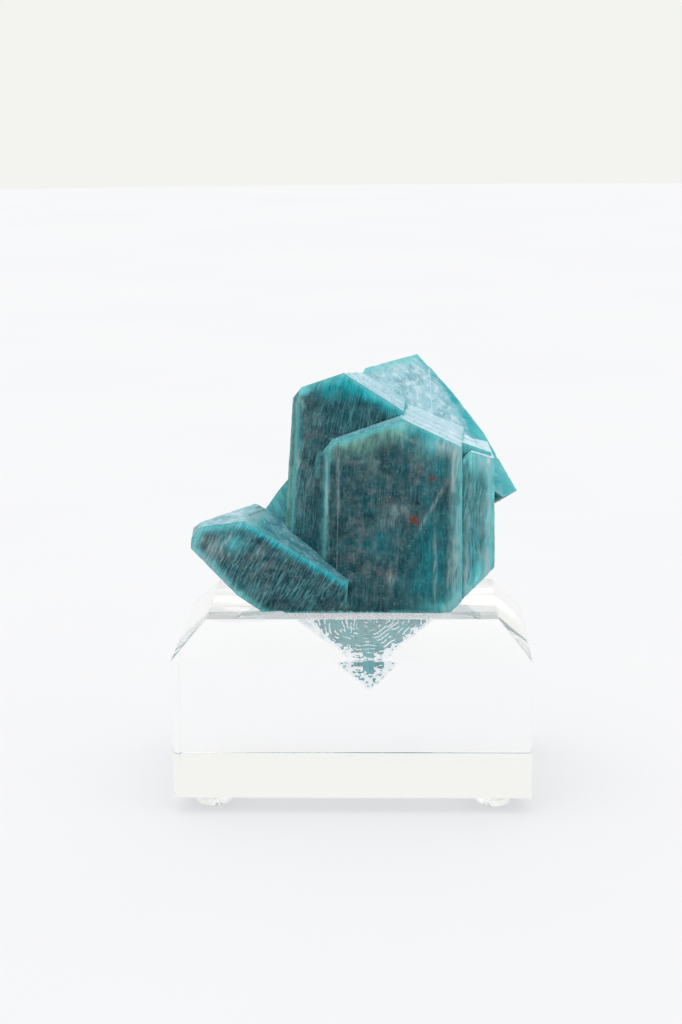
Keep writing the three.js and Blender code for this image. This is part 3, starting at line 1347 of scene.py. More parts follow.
CRYSTALS: Dict[str, Crystal] = {
    "main": Crystal(
        (8, -5, 60),
        (90, 87),
        {
            "front": (*FRONT, 9.0), "back": (176.5, 4, 12.0), "topLeft": (-82.5, 70, 22.2),
            "topRight": (78.5, 64, 23.5), "left": (-93, 4, 15.5), "right": (86.5, 0, 16.0),
            "shoulder": (-90.5, 38, 21.1), "leftBevel": (-35.5, -1.5, 14.6),
            "shoulderBevel": (-32, 16.5, 19.1), "topLeftBevel": (-21, 38, 21.6),
        },
        {"topLeft": 0.7, "topRight": 1.1, "topLeftBevel": 0.3}, haze=0.65, threads=0.34,
    ),
    "rightHand": Crystal(
        (27, -5, 60),
        (90, 88),
        {
            "front": (*FRONT, 9.3), "back": (176.5, 4, 10.8), "top": (74, 72.5, 16.1),
            "topLeft": (-89.5, 46, 13.2), "left": (-93.5, 0, 7.7), "right": (94.5, 1, 2.7),
            "rightBevel": (36.5, -3, 9.1),
        },
        {"top": 1.15, "topLeft": 1.0}, haze=0.15, threads=1.0, glow=0.34,
    ),
    "stepBehind": Crystal(
        (20, -3, 60),
        (90, 88),
        {
            "front": (*FRONT, 9.1), "back": (176.5, 4, 9.8), "topLeft": (-87.5, 56.5, 25.2),
            "topRight": (75.5, 70, 19.2), "left": (-93.5, 0.5, 13.5), "right": (124.5, 3.5, 2.7),
        },
        {"topLeft": 0.9, "topRight": 1.15}, haze=0.1, threads=0.4,
    ),
    "tallLeft": Crystal(
        (-2, -4, 70),
        (90, 78),
        {
            "front": (-2.5, -3.5, 8.6), "back": (177.5, 3.5, 10.4), "topLeft": (-130, 67, 18.6),
            "topRight": (82.5, 57, 20.4), "shoulder": (-100, 40.5, 18.0), "left": (-92, 4.5, 11.3),
            "right": (87.5, -0.5, 13.5), "leftBevel": (-37, -0.5, 12.7),
        },
        {"topLeft": 0.8, "topRight": 1.0, "shoulder": 0.5}, haze=0.3, threads=0.65,
    ),
    "leaningLeft": Crystal(
        (-18, -10, 52),
        (90, 67),
        {
            "front": (3, -22, 6.8), "back": (180, 5.5, 11.2), "topLeft": (-49, 79.5, 13.0),
            "topRight": (72, 50, 8.3), "topBackLeft": (-127.5, 60, 11.7), "topBackRight": (121, 59.5, 9.5),
            "left": (-88.5, 5.5, 16.4), "upperLeft": (-78.5, 38, 18.1), "lowerLeft": (-90, -38.5, 9.3),
            "right": (90, -6, 17.6),
        },
        {"topLeft": 0.6, "topRight": 0.3, "topBackLeft": 0.6, "topBackRight": 0.9, "upperLeft": 0.4},
        haze=0.6, threads=1.2,
    ),
    "slabBehind": Crystal(
        (20, 0, 78),
        (60, 40),
        {
            "front": (*FRONT, 10.0), "broad": (32, 36.5, 4.4), "back": (-148, -36.5, 6.6),
            "top": (-132.5, 52.5, 17.7), "left": (-95.5, 24, 21.2), "rightHigh": (129.5, 27, 6.0),
            "rightMiddle": (126.5, 22.5, 5.5), "rightLow": (120.5, 15, 6.3), "low": (63.5, -60, 18.4),
        },
        {"broad": 0.85, "top": 0.7, "left": 0.7}, haze=0.1, threads=0.3,
    ),
    "leftWedge": Crystal(
        (-14, -2, 65),
        (-90, 70),
        {
            "front": (-2.5, -3.5, 3.8), "back": (177.5, 3.5, 5.2), "upperLeft": (-108, 40, 1.5),
            "left": (-108.5, 34.5, 1.4), "right": (88, -1, 4.5), "underside": (-96, -47.5, 7.5),
        },
        {"upperLeft": 0.4, "left": 0.4}, haze=0.6, threads=0.5, glow=1.5,
    ),
    "backLeft": Crystal(
        (-5, 6, 62),
        (-90, 86),
        {
            "front": (8, 0, 8.0), "back": (188, 3, 6.8), "topLeft": (-78, 62, 12.0),
            "topRight": (95, 58, 13.5), "left": (-82, 3, 9.5), "right": (98, 0, 12.0),
            "backBevel": (-140, 6, 9.2), "topBack": (186, 48, 13.4),
        },
        {"topLeft": 0.8, "topRight": 0.8, "topBack": 0.6}, haze=0.5, threads=0.7,
    ),
    "backRight": Crystal(
        (17, 6, 55),
        (90, 87),
        {
            "front": (-12, 0, 8.0), "back": (168, 5, 8.6), "topLeft": (-100, 55, 13.8),
            "topRight": (70, 60, 13.2), "left": (-102, 2, 10.5), "right": (78, -2, 10.8),
            "backBevel": (122, 4, 11.6), "topBack": (165, 40, 14.2),
        },
        {"topLeft": 0.8, "topRight": 0.9, "topBack": 0.6}, haze=0.35, threads=0.8,
    ),
    "paleKnob": Crystal(
        (30.6, -4, 65),
        (90, 80),
        {
            "front": (20, -10, 1.9), "back": (200, 10, 2.2), "top": (0, 75, 1.8), "right": (84, -12, 1.7),
            "left": (-90, 0, 3.5), "underside": (60, -70, 1.6),
        },
    ),
    "root": Crystal(
        (3.7, 0, 41.1),
        (90, 88),
        {
            "leftBreak": (-90, -51.5, 14.3), "rightBreak": (90, -43.5, 12.5), "underside": (0, -90, -0.15),
            "left": (-90, -48, 12.4), "right": (90, -44, 11.5), "front": (0, -8, 12.9),
            "back": (180, -26, 9.9), "backLeft": (-135, -35, 12.2), "backRight": (135, -33, 12.4),
            "tip": (0, -90, 16.7),
        },
        haze=0.1, threads=0.5, glow=0.7,
    ),
}

# The cyan rims along top edges, and beside shaded faces and steps, are partly painted light: light through
# thin edges and light laid over shade. The olive and pale rims are the stone's own colour.
RIMS: Dict[str, Tuple[Rim, ...]] = {
    "main": (
        Rim("front", "topRight", Tint.FRESH, 3.0, 1.0), Rim("front", "topRight", Tint.GLOW, 0.9, 0.7),
        Rim("front", "topLeftBevel", Tint.OLIVE, 5.5, 1.2),
        Rim("front", "topLeftBevel", Tint.GLOW, 1.6, 0.5),
        Rim("topLeftBevel", "front", Tint.FRESH, 1.4, 0.7),
        Rim("shoulderBevel", "front", Tint.GLOW, 2.4, 0.5), Rim("leftBevel", "front", Tint.GLOW, 2.6, 0.4),
        Rim("front", "shoulderBevel", Tint.GLOW, 1.8, 0.6), Rim("front", "right", Tint.GLOW, 3.2, 0.9),
        Rim("front", "root.rightBreak", Tint.FRESH, 5.0, 0.9),
        Rim("front", "root.rightBreak", Tint.GLOW, 3.6, 1.3), Rim("right", "front", Tint.GLOW, 4.0, 1.5),
        Rim("right", "topRight", Tint.GLOW, 4.0, 1.5), Rim("front", "root.rightBreak", Tint.PALE, 2.4, 0.9),
    ),
    "tallLeft": (
        Rim("right", "topRight", Tint.GLOW, 5.0, 1.5), Rim("front", "topRight", Tint.FRESH, 3.2, 1.4),
        Rim("front", "topRight", Tint.GLOW, 1.5, 0.75), Rim("front", "topLeft", Tint.FRESH, 2.6, 0.6),
        Rim("front", "topLeft", Tint.GLOW, 2.4, 0.9), Rim("front", "shoulder", Tint.GLOW, 2.4, 0.7),
        Rim("leftBevel", "left", Tint.OLIVE, 3.0, 1.1), Rim("front", "leftBevel", Tint.GLOW, 1.8, 0.35),
    ),
    "rightHand": (
        Rim("front", "root.rightBreak", Tint.FRESH, 5.0, 0.8),
        Rim("front", "root.rightBreak", Tint.GLOW, 3.2, 1.5),
        Rim("front", "root.rightBreak", Tint.PALE, 1.6, 0.6), Rim("front", "top", Tint.GLOW, 1.3, 0.9),
        Rim("front", "topLeft", Tint.GLOW, 1.0, 0.9), Rim("front", "rightBevel", Tint.GLOW, 2.2, 0.8),
        Rim("rightBevel", "front", Tint.GLOW, 3.0, 0.9), Rim("front", "rightBevel", Tint.PALE, 1.4, 0.5),
    ),
    "stepBehind": (
        Rim("front", "topRight", Tint.FRESH, 1.6, 1.2), Rim("front", "topRight", Tint.GLOW, 5.0, 1.5),
    ),
    "leaningLeft": (
        Rim("front", "topRight", Tint.FRESH, 2.2, 1.6), Rim("front", "topLeft", Tint.FRESH, 2.2, 0.7),
        Rim("front", "topLeft", Tint.GLOW, 3.0, 1.0), Rim("front", "left", Tint.GLOW, 3.0, 0.7),
        Rim("front", "upperLeft", Tint.GLOW, 2.4, 0.6), Rim("front", "lowerLeft", Tint.GLOW, 2.6, 1.0),
        Rim("front", "lowerLeft", Tint.PALE, 1.6, 0.6), Rim("topRight", "topLeft", Tint.GLOW, 6.0, 1.2),
        Rim("topRight", "topLeft", Tint.PALE, 3.4, 1.1),
        Rim("front", "root.leftBreak", Tint.GLOW, 2.2, 1.0),
    ),
    "slabBehind": (
        Rim("broad", "top", Tint.GLOW, 2.6, 1.0), Rim("broad", "rightHigh", Tint.FRESH, 3.0, 0.9),
        Rim("broad", "rightMiddle", Tint.FRESH, 5.0, 1.0), Rim("broad", "left", Tint.GLOW, 2.2, 0.7),
        Rim("broad", "rightLow", Tint.FRESH, 8.0, 1.2), Rim("broad", "rightLow", Tint.GLOW, 5.0, 0.7),
        Rim("broad", "low", Tint.FRESH, 7.0, 1.1),
    ),
    "leftWedge": (
        Rim("front", "left", Tint.GLOW, 3.0, 0.7),
    ),
    "backLeft": (
        Rim("back", "topBack", Tint.FRESH, 3.0, 0.9),
    ),
    "backRight": (
        Rim("back", "topBack", Tint.FRESH, 3.2, 1.0),
    ),
}

# The cyan dabs are partly painted light, brightening tips and edges where light shines through the stone; the
# rust, ink, pale, haze and olive dabs are its own colour.
DABS: Dict[Tuple[str, Tint], Tuple[Dab, ...]] = {
    ("main", Tint.RUST): (
        Dab(17.3, 70.9, 0.9, 0.8, 0.9), Dab(13.1, 61.9, 0.9, 0.8, 1.5), Dab(14.0, 60.9, 0.5, 0.5, 0.9),
        Dab(7.8, 65.6, 1.5, 1.2, 0.28), Dab(20.2, 69.6, 0.6, 2.0, 0.3), Dab(8.3, 49.6, 1.2, 1.4, 0.25),
    ),
    ("main", Tint.INK): (Dab(14.1, 65.4, 0.45, 0.4, 1.0), Dab(8.8, 50.0, 0.3, 0.3, 0.6)),
    ("main", Tint.PALE): (
        Dab(9.4, 63.9, 1.8, 1.6, 0.4, -20.0), Dab(7.8, 61.0, 2.2, 0.9, 0.3), Dab(8.3, 48.9, 0.9, 1.6, 0.55),
        Dab(2.0, 74.2, 1.8, 0.3, 0.4, -10.0), Dab(17.0, 64.4, 0.35, 6.4, 0.5, 29.0),
        Dab(21.6, 71.3, 0.55, 5.0, 0.8, 4.0), Dab(22.1, 53.5, 0.8, 9.6, 0.75),
        Dab(20.6, 50.0, 0.4, 6.0, 0.5), Dab(17.7, 51.6, 0.4, 8.0, 0.5), Dab(-5.3, 67.0, 0.35, 9.0, 0.7),
        Dab(-2.8, 71.0, 0.3, 8.0, 0.45), Dab(10.8, 80.0, 0.2, 3.6, 0.5),
        Dab(12.4, 79.3, 0.3, 2.6, 0.5, -60.0), Dab(11.4, 82.8, 2.6, 0.7, 0.4),
        Dab(20.4, 77.6, 2.6, 1.8, 0.6), Dab(22.4, 75.4, 1.2, 3.0, 0.6), Dab(18.8, 78.2, 1.8, 1.1, 0.5),
    ),
    ("main", Tint.FRESH): (
        Dab(12.4, 81.6, 3.0, 1.5, 1.0, -60.0), Dab(17.5, 79.0, 3.6, 1.4, 0.9, -60.0),
        Dab(18.9, 73.6, 1.8, 3.4, 0.4), Dab(16.5, 46.0, 5.0, 3.6, 0.25), Dab(17.0, 54.0, 3.6, 9.0, 0.35),
        Dab(6.0, 56.5, 3.0, 3.5, 0.3), Dab(16.3, 69.5, 1.6, 3.0, 0.3),
    ),
    ("main", Tint.GLOW): (
        Dab(11.4, 82.2, 2.8, 1.3, 1.2), Dab(18.4, 78.8, 3.8, 2.2, 0.9), Dab(18.0, 42.4, 4.0, 1.4, 0.5),
        Dab(22.2, 43.6, 1.5, 1.6, 0.8), Dab(-4.2, 57.5, 1.8, 5.0, -0.5),
    ),
    ("main", Tint.HAZE): (
        Dab(17.0, 54.0, 4.5, 10.0, -0.8), Dab(3.0, 72.0, 5.0, 6.0, 0.5), Dab(0.5, 63.0, 3.5, 10.0, 0.25),
        Dab(4.5, 52.5, 3.0, 5.0, 0.4), Dab(14.0, 72.0, 2.5, 3.5, 0.5), Dab(10.0, 64.0, 3.5, 5.0, 0.35),
    ),
    ("main", Tint.OLIVE): (
        Dab(2.5, 78.0, 6.0, 1.8, 0.5, 66.0), Dab(9.5, 80.6, 2.4, 1.6, 0.5), Dab(15.0, 76.0, 3.0, 1.8, 0.35),
    ),
    ("rightHand", Tint.PALE): (
        Dab(25.0, 66.0, 0.5, 6.0, 0.3), Dab(28.3, 62.0, 1.6, 5.0, 0.4), Dab(28.6, 53.0, 1.4, 3.0, 0.55),
        Dab(24.4, 56.0, 0.5, 9.0, 0.5), Dab(28.7, 74.8, 2.0, 2.4, 0.9), Dab(24.2, 49.5, 0.8, 4.0, 0.6),
    ),
    ("rightHand", Tint.GLOW): (Dab(26.0, 75.0, 3.6, 2.6, 0.9),),
    ("rightHand", Tint.FRESH): (Dab(27.0, 50.0, 2.4, 2.4, 0.5), Dab(26.2, 57.2, 1.2, 5.0, 0.35)),
    ("tallLeft", Tint.HAZE): (
        Dab(-9.4, 74.0, 3.2, 13.0, 0.8), Dab(-8.0, 84.0, 3.0, 4.0, 0.6), Dab(1.5, 86.5, 4.5, 4.0, -0.9),
        Dab(-6.0, 60.5, 6.0, 6.0, -0.3),
    ),
    ("tallLeft", Tint.FRESH): (
        Dab(-1.5, 91.0, 3.0, 1.6, 0.8), Dab(-4.6, 89.2, 1.8, 1.6, 0.8), Dab(1.2, 88.6, 3.4, 1.8, 0.6),
    ),
    ("tallLeft", Tint.PALE): (
        Dab(-10.2, 86.6, 0.3, 1.2, 0.8), Dab(-11.3, 74.0, 0.4, 3.0, 0.6), Dab(-11.2, 66.0, 0.4, 4.0, 0.2),
    ),
    ("leaningLeft", Tint.HAZE): (Dab(-29.4, 57.2, 1.9, 2.6, 1.0), Dab(-17.0, 54.0, 7.0, 4.5, 0.5, -60.0)),
    ("leaningLeft", Tint.PALE): (
        Dab(-29.4, 57.2, 1.8, 2.5, 0.7), Dab(-27.3, 56.6, 0.25, 2.2, 0.8),
        Dab(-31.2, 58.8, 0.3, 0.7, 0.9, 20.0), Dab(-25.3, 59.4, 0.3, 0.9, 0.9, 20.0),
        Dab(-26.4, 58.1, 0.25, 0.6, 0.9, 15.0), Dab(-25.8, 55.4, 0.25, 0.6, 0.8, 15.0),
    ),
    ("leaningLeft", Tint.GLOW): (Dab(-24.6, 57.8, 2.4, 2.0, 0.6), Dab(-21.2, 46.6, 2.4, 1.4, 0.35)),
    ("leaningLeft", Tint.FRESH): (Dab(-24.6, 57.8, 2.6, 2.2, 0.5),),
    ("leaningLeft", Tint.RUST): (Dab(-20.8, 45.2, 1.6, 1.2, 0.16),),
}

CHIPS: Tuple[Chip, ...] = (
    Chip((-9.9, -18.0, 55.3), 0.8, 0.30),
    Chip((-6.6, -17.1, 52.8), 0.7, 0.25),
    Chip((-18.6, -21.0, 61.2), 0.7, 0.25),
    Chip((14.0, -14.8, 65.4), 0.5, 0.25),
    Chip((8.4, -13.7, 49.8), 0.9, 0.22),
    Chip((13.1, -14.6, 61.6), 0.8, 0.18),
    Chip((23.4, -15.8, 75.2), 0.6, 0.25),
    Chip((29.9, -13.5, 49.8), 0.9, 0.30),
)


@dataclass
class StoneCluster:
    """The crystals and their root: one piece, with worn edges, striae, growth steps and pits."""

    node: str = "amazonite_cluster"
    seed: int = 20
    spacing: float = 0.43
    lip: float = 0.2
    sharp_angle: float = 38.0

    # How close a flat lies to the face it is named for, in degrees and millimetres.
    facing_slack: float = 0.3
    face_slack: float = 0.06
    sheet_slack: float = 0.4
    layer_slack: float = 1.6
    naming_rounds: int = 2
    least_run: float = 0.05
    spare_run: Triple = (0.0, 1.0, 0.1)
    edge_angle: float = 12.0
    seam_angle: float = 15.0

    # What the surface is worn to.
    wander: Ripple = Ripple(6.5, 0.0, 0.05)
    striae: Ripple = Ripple(1.0, 0.0, 0.035)
    striae_across: float = 0.9
    striae_along: float = 0.07
    striae_apart: float = 3.7
    calm_edge: Pair = (0.15, 1.0)
    calm_step: Pair = (0.1, 0.5)
    edge_reach: float = 0.95
    least_wear: float = 0.05
    wear: Ripple = Ripple(1.5, 3.0)
    wear_depth: float = 0.16
    wear_bite: float = 1.2
    nick: Ripple = Ripple(1.1, 9.0)
    nick_depth: float = 0.55
    nick_limit: float = 0.42
    root_relief: float = 0.35
    pit_count: int = 170
    pit_widths: Pair = (0.5, 1.0)
    pit_depths: Pair = (0.04, 0.12)

    # What the finish reads from the mesh.
    thread_sway: Ripple = Ripple(13.0, 4.0, 1.1)
    thread_apart: float = 7.3
    other_threads: float = 0.4
    other_haze: float = 0.3
    top_haze: float = 0.25
    # Painted light: a growth step between tops gets this sheen, which paints its shaded riser near white.
    step_painted_light: float = 1.4
    # Partly the root's own colour, partly painted light: the root in the block's pocket is laid pale and
    # bright cyan.
    root_pale_cyan_and_light: float = 1.4
    root_fresh_and_lit: float = 0.9
    root_pale: float = 0.5
    root_cloud: Ripple = Ripple(4.0, 15.0)
    root_cloud_ends: Pair = (-0.5, 0.3)
    rim_wobble: Ripple = Ripple(2.4, 7.0, 0.35)
    rim_full: float = 0.1
    most_tint: float = 1.6

    # What is worked out while the stone is built.
    solid: FlatSolid = field(**LATER)
    runs: List[EdgeRun] = field(**LATER)
    names: List[Tuple[str, str]] = field(**LATER)
    sheens: Array = field(**LATER)
    fine: FineMesh = field(**LATER)
    flat_at: Array = field(**LATER)
    edge_mm: Array = field(**LATER)
    seam_mm: Array = field(**LATER)
    step_mm: Array = field(**LATER)
    tints: Dict[Tint, Array] = field(**LATER)

    def build(self, effects: Effects) -> Piece:
        """Makes the stone and hands it to the frame.

        Args:
            effects: the shared node groups.

        Returns:
            The finished piece.
        """
        self.solid = FlatSolid.from_node(self.node)
        self.runs = self.solid.edge_runs()
        self.names = self._name_flats()
        self.sheens = np.array([self._sheen(number) for number in range(len(self.names))])
        self.fine = self.solid.divided(self.spacing, self.lip, self.seed)
        self.flat_at = np.zeros(len(self.fine.points), int)
        for corner in range(3):
            self.flat_at[self.fine.triangles[:, corner]] = self.fine.flat_of
        self._measure_edges()
        self._tint()
        mesh = make_mesh("amazonite_cluster_rough", self._weathered(), self.fine.triangles)
        self._store(mesh)
        mesh.set_sharp_from_angle(angle=math.radians(self.sharp_angle))
        finish = AmazoniteFinish()
        piece = show("amazonite_cluster_rough", mesh, finish.material(effects, Growth.PRISM))
        mesh.materials.append(finish.material(effects, Growth.TOP))
        tops = (self.sheens[self.fine.flat_of] > 0).astype(np.int32)
        mesh.polygons.foreach_set("material_index", tops)
        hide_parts(self.node)
        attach(piece, BODY)
        return piece

    def _name_flats(self) -> List[Tuple[str, str]]:
        """Finds which crystal's face each flat is.

        Returns:
            A crystal and a face name for each flat; a growth step has its crystal alone.
        """
        names: List[Tuple[str, str]] = []
        for flat in self.solid.flats:
            best, found = self.layer_slack, ("", "")
            for name, crystal in CRYSTALS.items():
                for face, (bearing, elevation, distance) in crystal.faces.items():
                    normal = outward(bearing, elevation)
                    if normal @ flat.normal < math.cos(math.radians(self.facing_slack)):
                        continue
                    gap = flat.offset - float(normal @ np.array(crystal.centre)) - distance
                    slack = self.layer_slack if face in crystal.domes else self.sheet_slack
                    if -self.face_slack < gap < slack and abs(gap) < best:
                        best, found = abs(gap), (name, face)
            names.append(found)
        for _ in range(self.naming_rounds):
            for number, (name, _face) in enumerate(names):
                if not name:
                    names[number] = (self._neighbour(number, names), "")
        return names

    def _neighbour(self, number: int, names: List[Tuple[str, str]]) -> str:
        """Names the crystal that a flat shares most of its border with.

        Args:
            number: the flat.
            names: the names found so far.

        Returns:
            The crystal's name, or nothing where no neighbour has one.
        """
        votes: Dict[str, int] = {}
        for run in self.runs:
            if number in run.flats:
                name = names[sum(run.flats) - number][0]
                if name:
                    votes[name] = votes.get(name, 0) + len(run.marks)
        return max(votes, key=lambda name: votes[name]) if votes else ""

    def _sheen(self, number: int) -> float:
        """Judges how much painted sheen a flat is given, which whitens its colour.

        Args:
            number: the flat.

        Returns:
            A top's own painted sheen, a strong one for a growth step between tops that paints light over its
            shaded riser, and 0 for the rest.
        """
        crystal, face = self.names[number]
        if face:
            return CRYSTALS[crystal].domes.get(face, 0.0)
        tops = others = 0
        for run in self.runs:
            if number in run.flats:
                crystal, face = self.names[sum(run.flats) - number]
                if face and face in CRYSTALS[crystal].domes:
                    tops += len(run.marks)
                elif face:
                    others += len(run.marks)
        return self.step_painted_light if tops > others else 0.0

    def _flats_named(self, crystal: str, face: str) -> List[int]:
        """Lists the flats of a crystal's face, or of another crystal.face."""
        wanted = tuple(face.split(".")) if "." in face else (crystal, face)
        return [number for number, name in enumerate(self.names) if name == wanted]

    def _of_crystals(self, what: str, other: float) -> Array:
        """Gives each flat what its crystal says, or another value where it has no crystal."""
        owners = [CRYSTALS.get(name) for name, _face in self.names]
        return np.array([getattr(owner, what) if owner else other for owner in owners])

    @staticmethod
    def _marks(runs: Sequence[EdgeRun]) -> Array:
        """Joins the marks of several edges, or gives one far away where there is none."""
        return np.concatenate([run.marks for run in runs]) if runs else np.full((1, 3), FAR_AWAY)

    def _measure_edges(self) -> None:
        """Measures how far each point lies from the outer edges, the seams and the growth steps."""
        named = [bool(face) for _crystal, face in self.names]
        full = [run for run in self.runs if named[run.flats[0]] and named[run.flats[1]]]
        steps = [run for run in self.runs if not (named[run.flats[0]] and named[run.flats[1]])]
        edges = [run for run in full if run.convex and run.angle > self.edge_angle]
        seams = [run for run in full if not run.convex and run.angle > self.seam_angle]
        points = self.fine.points
        self.edge_mm = nearest(points, self._marks(edges))
        self.seam_mm = nearest(points, self._marks(seams))
        self.step_mm = nearest(points, self._marks([run for run in steps if run.convex]))

    def _tint(self) -> None:
        """Works out every tint at every point, from the crystals, the root, the rims and the dabs."""
        points = self.fine.points
        crystal_at = np.array([name for name, _face in self.names])[self.flat_at]
        top_at = self.sheens[self.flat_at] > 0
        self.tints = {tint: np.zeros(len(points)) for tint in Tint}
        self.tints[Tint.HAZE] = self._of_crystals("haze", self.other_haze)[self.flat_at]
        self.tints[Tint.HAZE][top_at] *= self.top_haze
        self.tints[Tint.GLOW] = self._of_crystals("glow", 0.0)[self.flat_at]
        self.tints[Tint.GLOW][top_at] = 0.0
        below = points[:, 2] < CRYSTALS["root"].centre[2]
        cloud = smooth(*self.root_cloud_ends, self.root_cloud.at(points[below]))
        # Painted light in part: the root below the block's top is laid pale and bright cyan.
        self.tints[Tint.GLOW][below] = self.root_pale_cyan_and_light
        self.tints[Tint.FRESH][below] = self.root_fresh_and_lit
        self.tints[Tint.PALE][below] = self.root_pale * cloud
        for crystal, rims in RIMS.items():
            for rim in rims:
                self._tint_rim(crystal, rim)
        for (crystal, tint), dabs in DABS.items():
            chosen = np.flatnonzero((crystal_at == crystal) & ~top_at)
            for dab in dabs:
                self.tints[tint][chosen] += dab.at(points[chosen])
        for values in self.tints.values():
            np.clip(values, 0, self.most_tint, out=values)

    def _tint_rim(self, crystal: str, rim: Rim) -> None:
        """Lays one rim.

        Args:
            crystal: the crystal that it lies on.
            rim: the rim.
        """
        faces = self._flats_named(crystal, rim.face)
        others = self._flats_named(crystal, rim.along)
        runs = [
            run
            for run in self.runs
            if (run.flats[0] in faces and run.flats[1] in others)
            or (run.flats[1] in faces and run.flats[0] in others)
        ]
        chosen = np.flatnonzero(np.isin(self.flat_at, faces))
        points = self.fine.points[chosen]
        away = nearest(points, self._marks(runs)) / (1 + self.rim_wobble.at(points))
        self.tints[rim.tint][chosen] += rim.strength * smooth(rim.reach, self.rim_full, away)

    def _grain_axes(self) -> Tuple[Array, Array]:
        """Finds which way the grain runs on each flat.

        Returns:
            Each flat's direction across its grain, and each flat's direction along it.
        """
        across, along = [], []
        for flat, (name, face) in zip(self.solid.flats, self.names):
            crystal = CRYSTALS.get(name, CRYSTALS["root"])
            run = outward(*crystal.grain)
            if name and face in crystal.domes and "front" in crystal.faces:
                run = np.cross(outward(*crystal.faces["front"][:2]), flat.normal)
            run = run - flat.normal * float(run @ flat.normal)
            if np.linalg.norm(run) < self.least_run:
                run = np.cross(flat.normal, self.spare_run)
            along.append(unit(run))
            across.append(unit(np.cross(flat.normal, along[-1])))
        return np.array(across), np.array(along)

    def _weathered(self) -> Array:
        """Moves the points for uneven faces, striae, worn and chipped edges, and pits.

        Returns:
            The moved points.
        """
        points = self.fine.points
        inner = smooth(*self.calm_edge, np.minimum(self.edge_mm, self.seam_mm))
        inner *= smooth(*self.calm_step, self.step_mm)
        across, along = self._grain_axes()
        grain = np.stack(
            [
                (points * across[self.flat_at]).sum(1) * self.striae_across,
                (points * along[self.flat_at]).sum(1) * self.striae_along,
                self.flat_at * self.striae_apart,
            ],
            1,
        )
        shift = (self.wander.at(points) + self.striae.at(grain)) * inner
        worn = self.wear_depth * np.clip(self.wear.at(points), 0, 1) ** self.wear_bite
        nicked = self.nick_depth * np.clip(self.nick.at(points) - self.nick_limit, 0, 1)
        near = np.clip(1 - self.edge_mm / self.edge_reach, 0, 1) ** 2
        shift -= (self.least_wear + worn + nicked) * near
        shift -= self._pit_depths(points)
        above = points[:, 2] > CRYSTALS["root"].centre[2]
        shift *= np.where(above, 1.0, self.root_relief)
        return points + self.fine.normals * shift[:, None]

    def _pit_depths(self, points: Array) -> Array:
        """Measures how deep the scattered pits and the placed chips are at every point.

        Args:
            points: one row a point.

        Returns:
            One depth a point.
        """
        dice = np.random.default_rng(self.seed)
        spots = [
            Chip(tuple(points[k]), dice.uniform(*self.pit_widths), dice.uniform(*self.pit_depths))
            for k in dice.integers(0, len(points), self.pit_count)
        ]
        tree = tree_of(points)
        depths = np.zeros(len(points))
        for spot in [*spots, *CHIPS]:
            for _place, number, away in tree.find_range(spot.at, spot.width):
                depths[number] += spot.depth * (1 - (away / spot.width) ** 2)
        return depths

    def _store(self, mesh: Mesh) -> None:
        """Stores on the mesh what the finish reads.

        Args:
            mesh: the stone's mesh.
        """
        for tint, values in self.tints.items():
            add_float(mesh, tint.value, values)
        for name, values in (("edge_mm", self.edge_mm), ("seam_mm", self.seam_mm), ("step_mm", self.step_mm)):
            add_float(mesh, name, values)
        owners = [name for name, _face in self.names]
        order = {name: float(number) for number, name in enumerate(CRYSTALS)}
        triangles = self.fine.triangles[: len(mesh.polygons)]
        flat_of = self.fine.flat_of[: len(mesh.polygons)]
        for name, values in (
            ("threads", self._of_crystals("threads", self.other_threads)),
            ("albite", np.array([float(owner == "paleKnob") for owner in owners])),
            ("sheen", self.sheens),
        ):
            add_float(mesh, name, values[flat_of], "FACE")
        across, along = self._grain_axes()
        corners = self.fine.points[triangles]
        apart = np.array([order.get(owner, 0.0) * self.thread_apart for owner in owners])
        sway = self.thread_sway.at(self.fine.points)
        grain = np.stack(
            [
                (corners * across[flat_of][:, None]).sum(2) + sway[triangles],
                (corners * along[flat_of][:, None]).sum(2),
                np.repeat(apart[flat_of][:, None], 3, 1),
            ],
            2,
        )
        layer = mesh.attributes.new("grain", "FLOAT_VECTOR", "CORNER")
        layer.data.foreach_set("vector", grain.astype(np.float32).ravel())


# ---------------------------------------------------------------- the display block


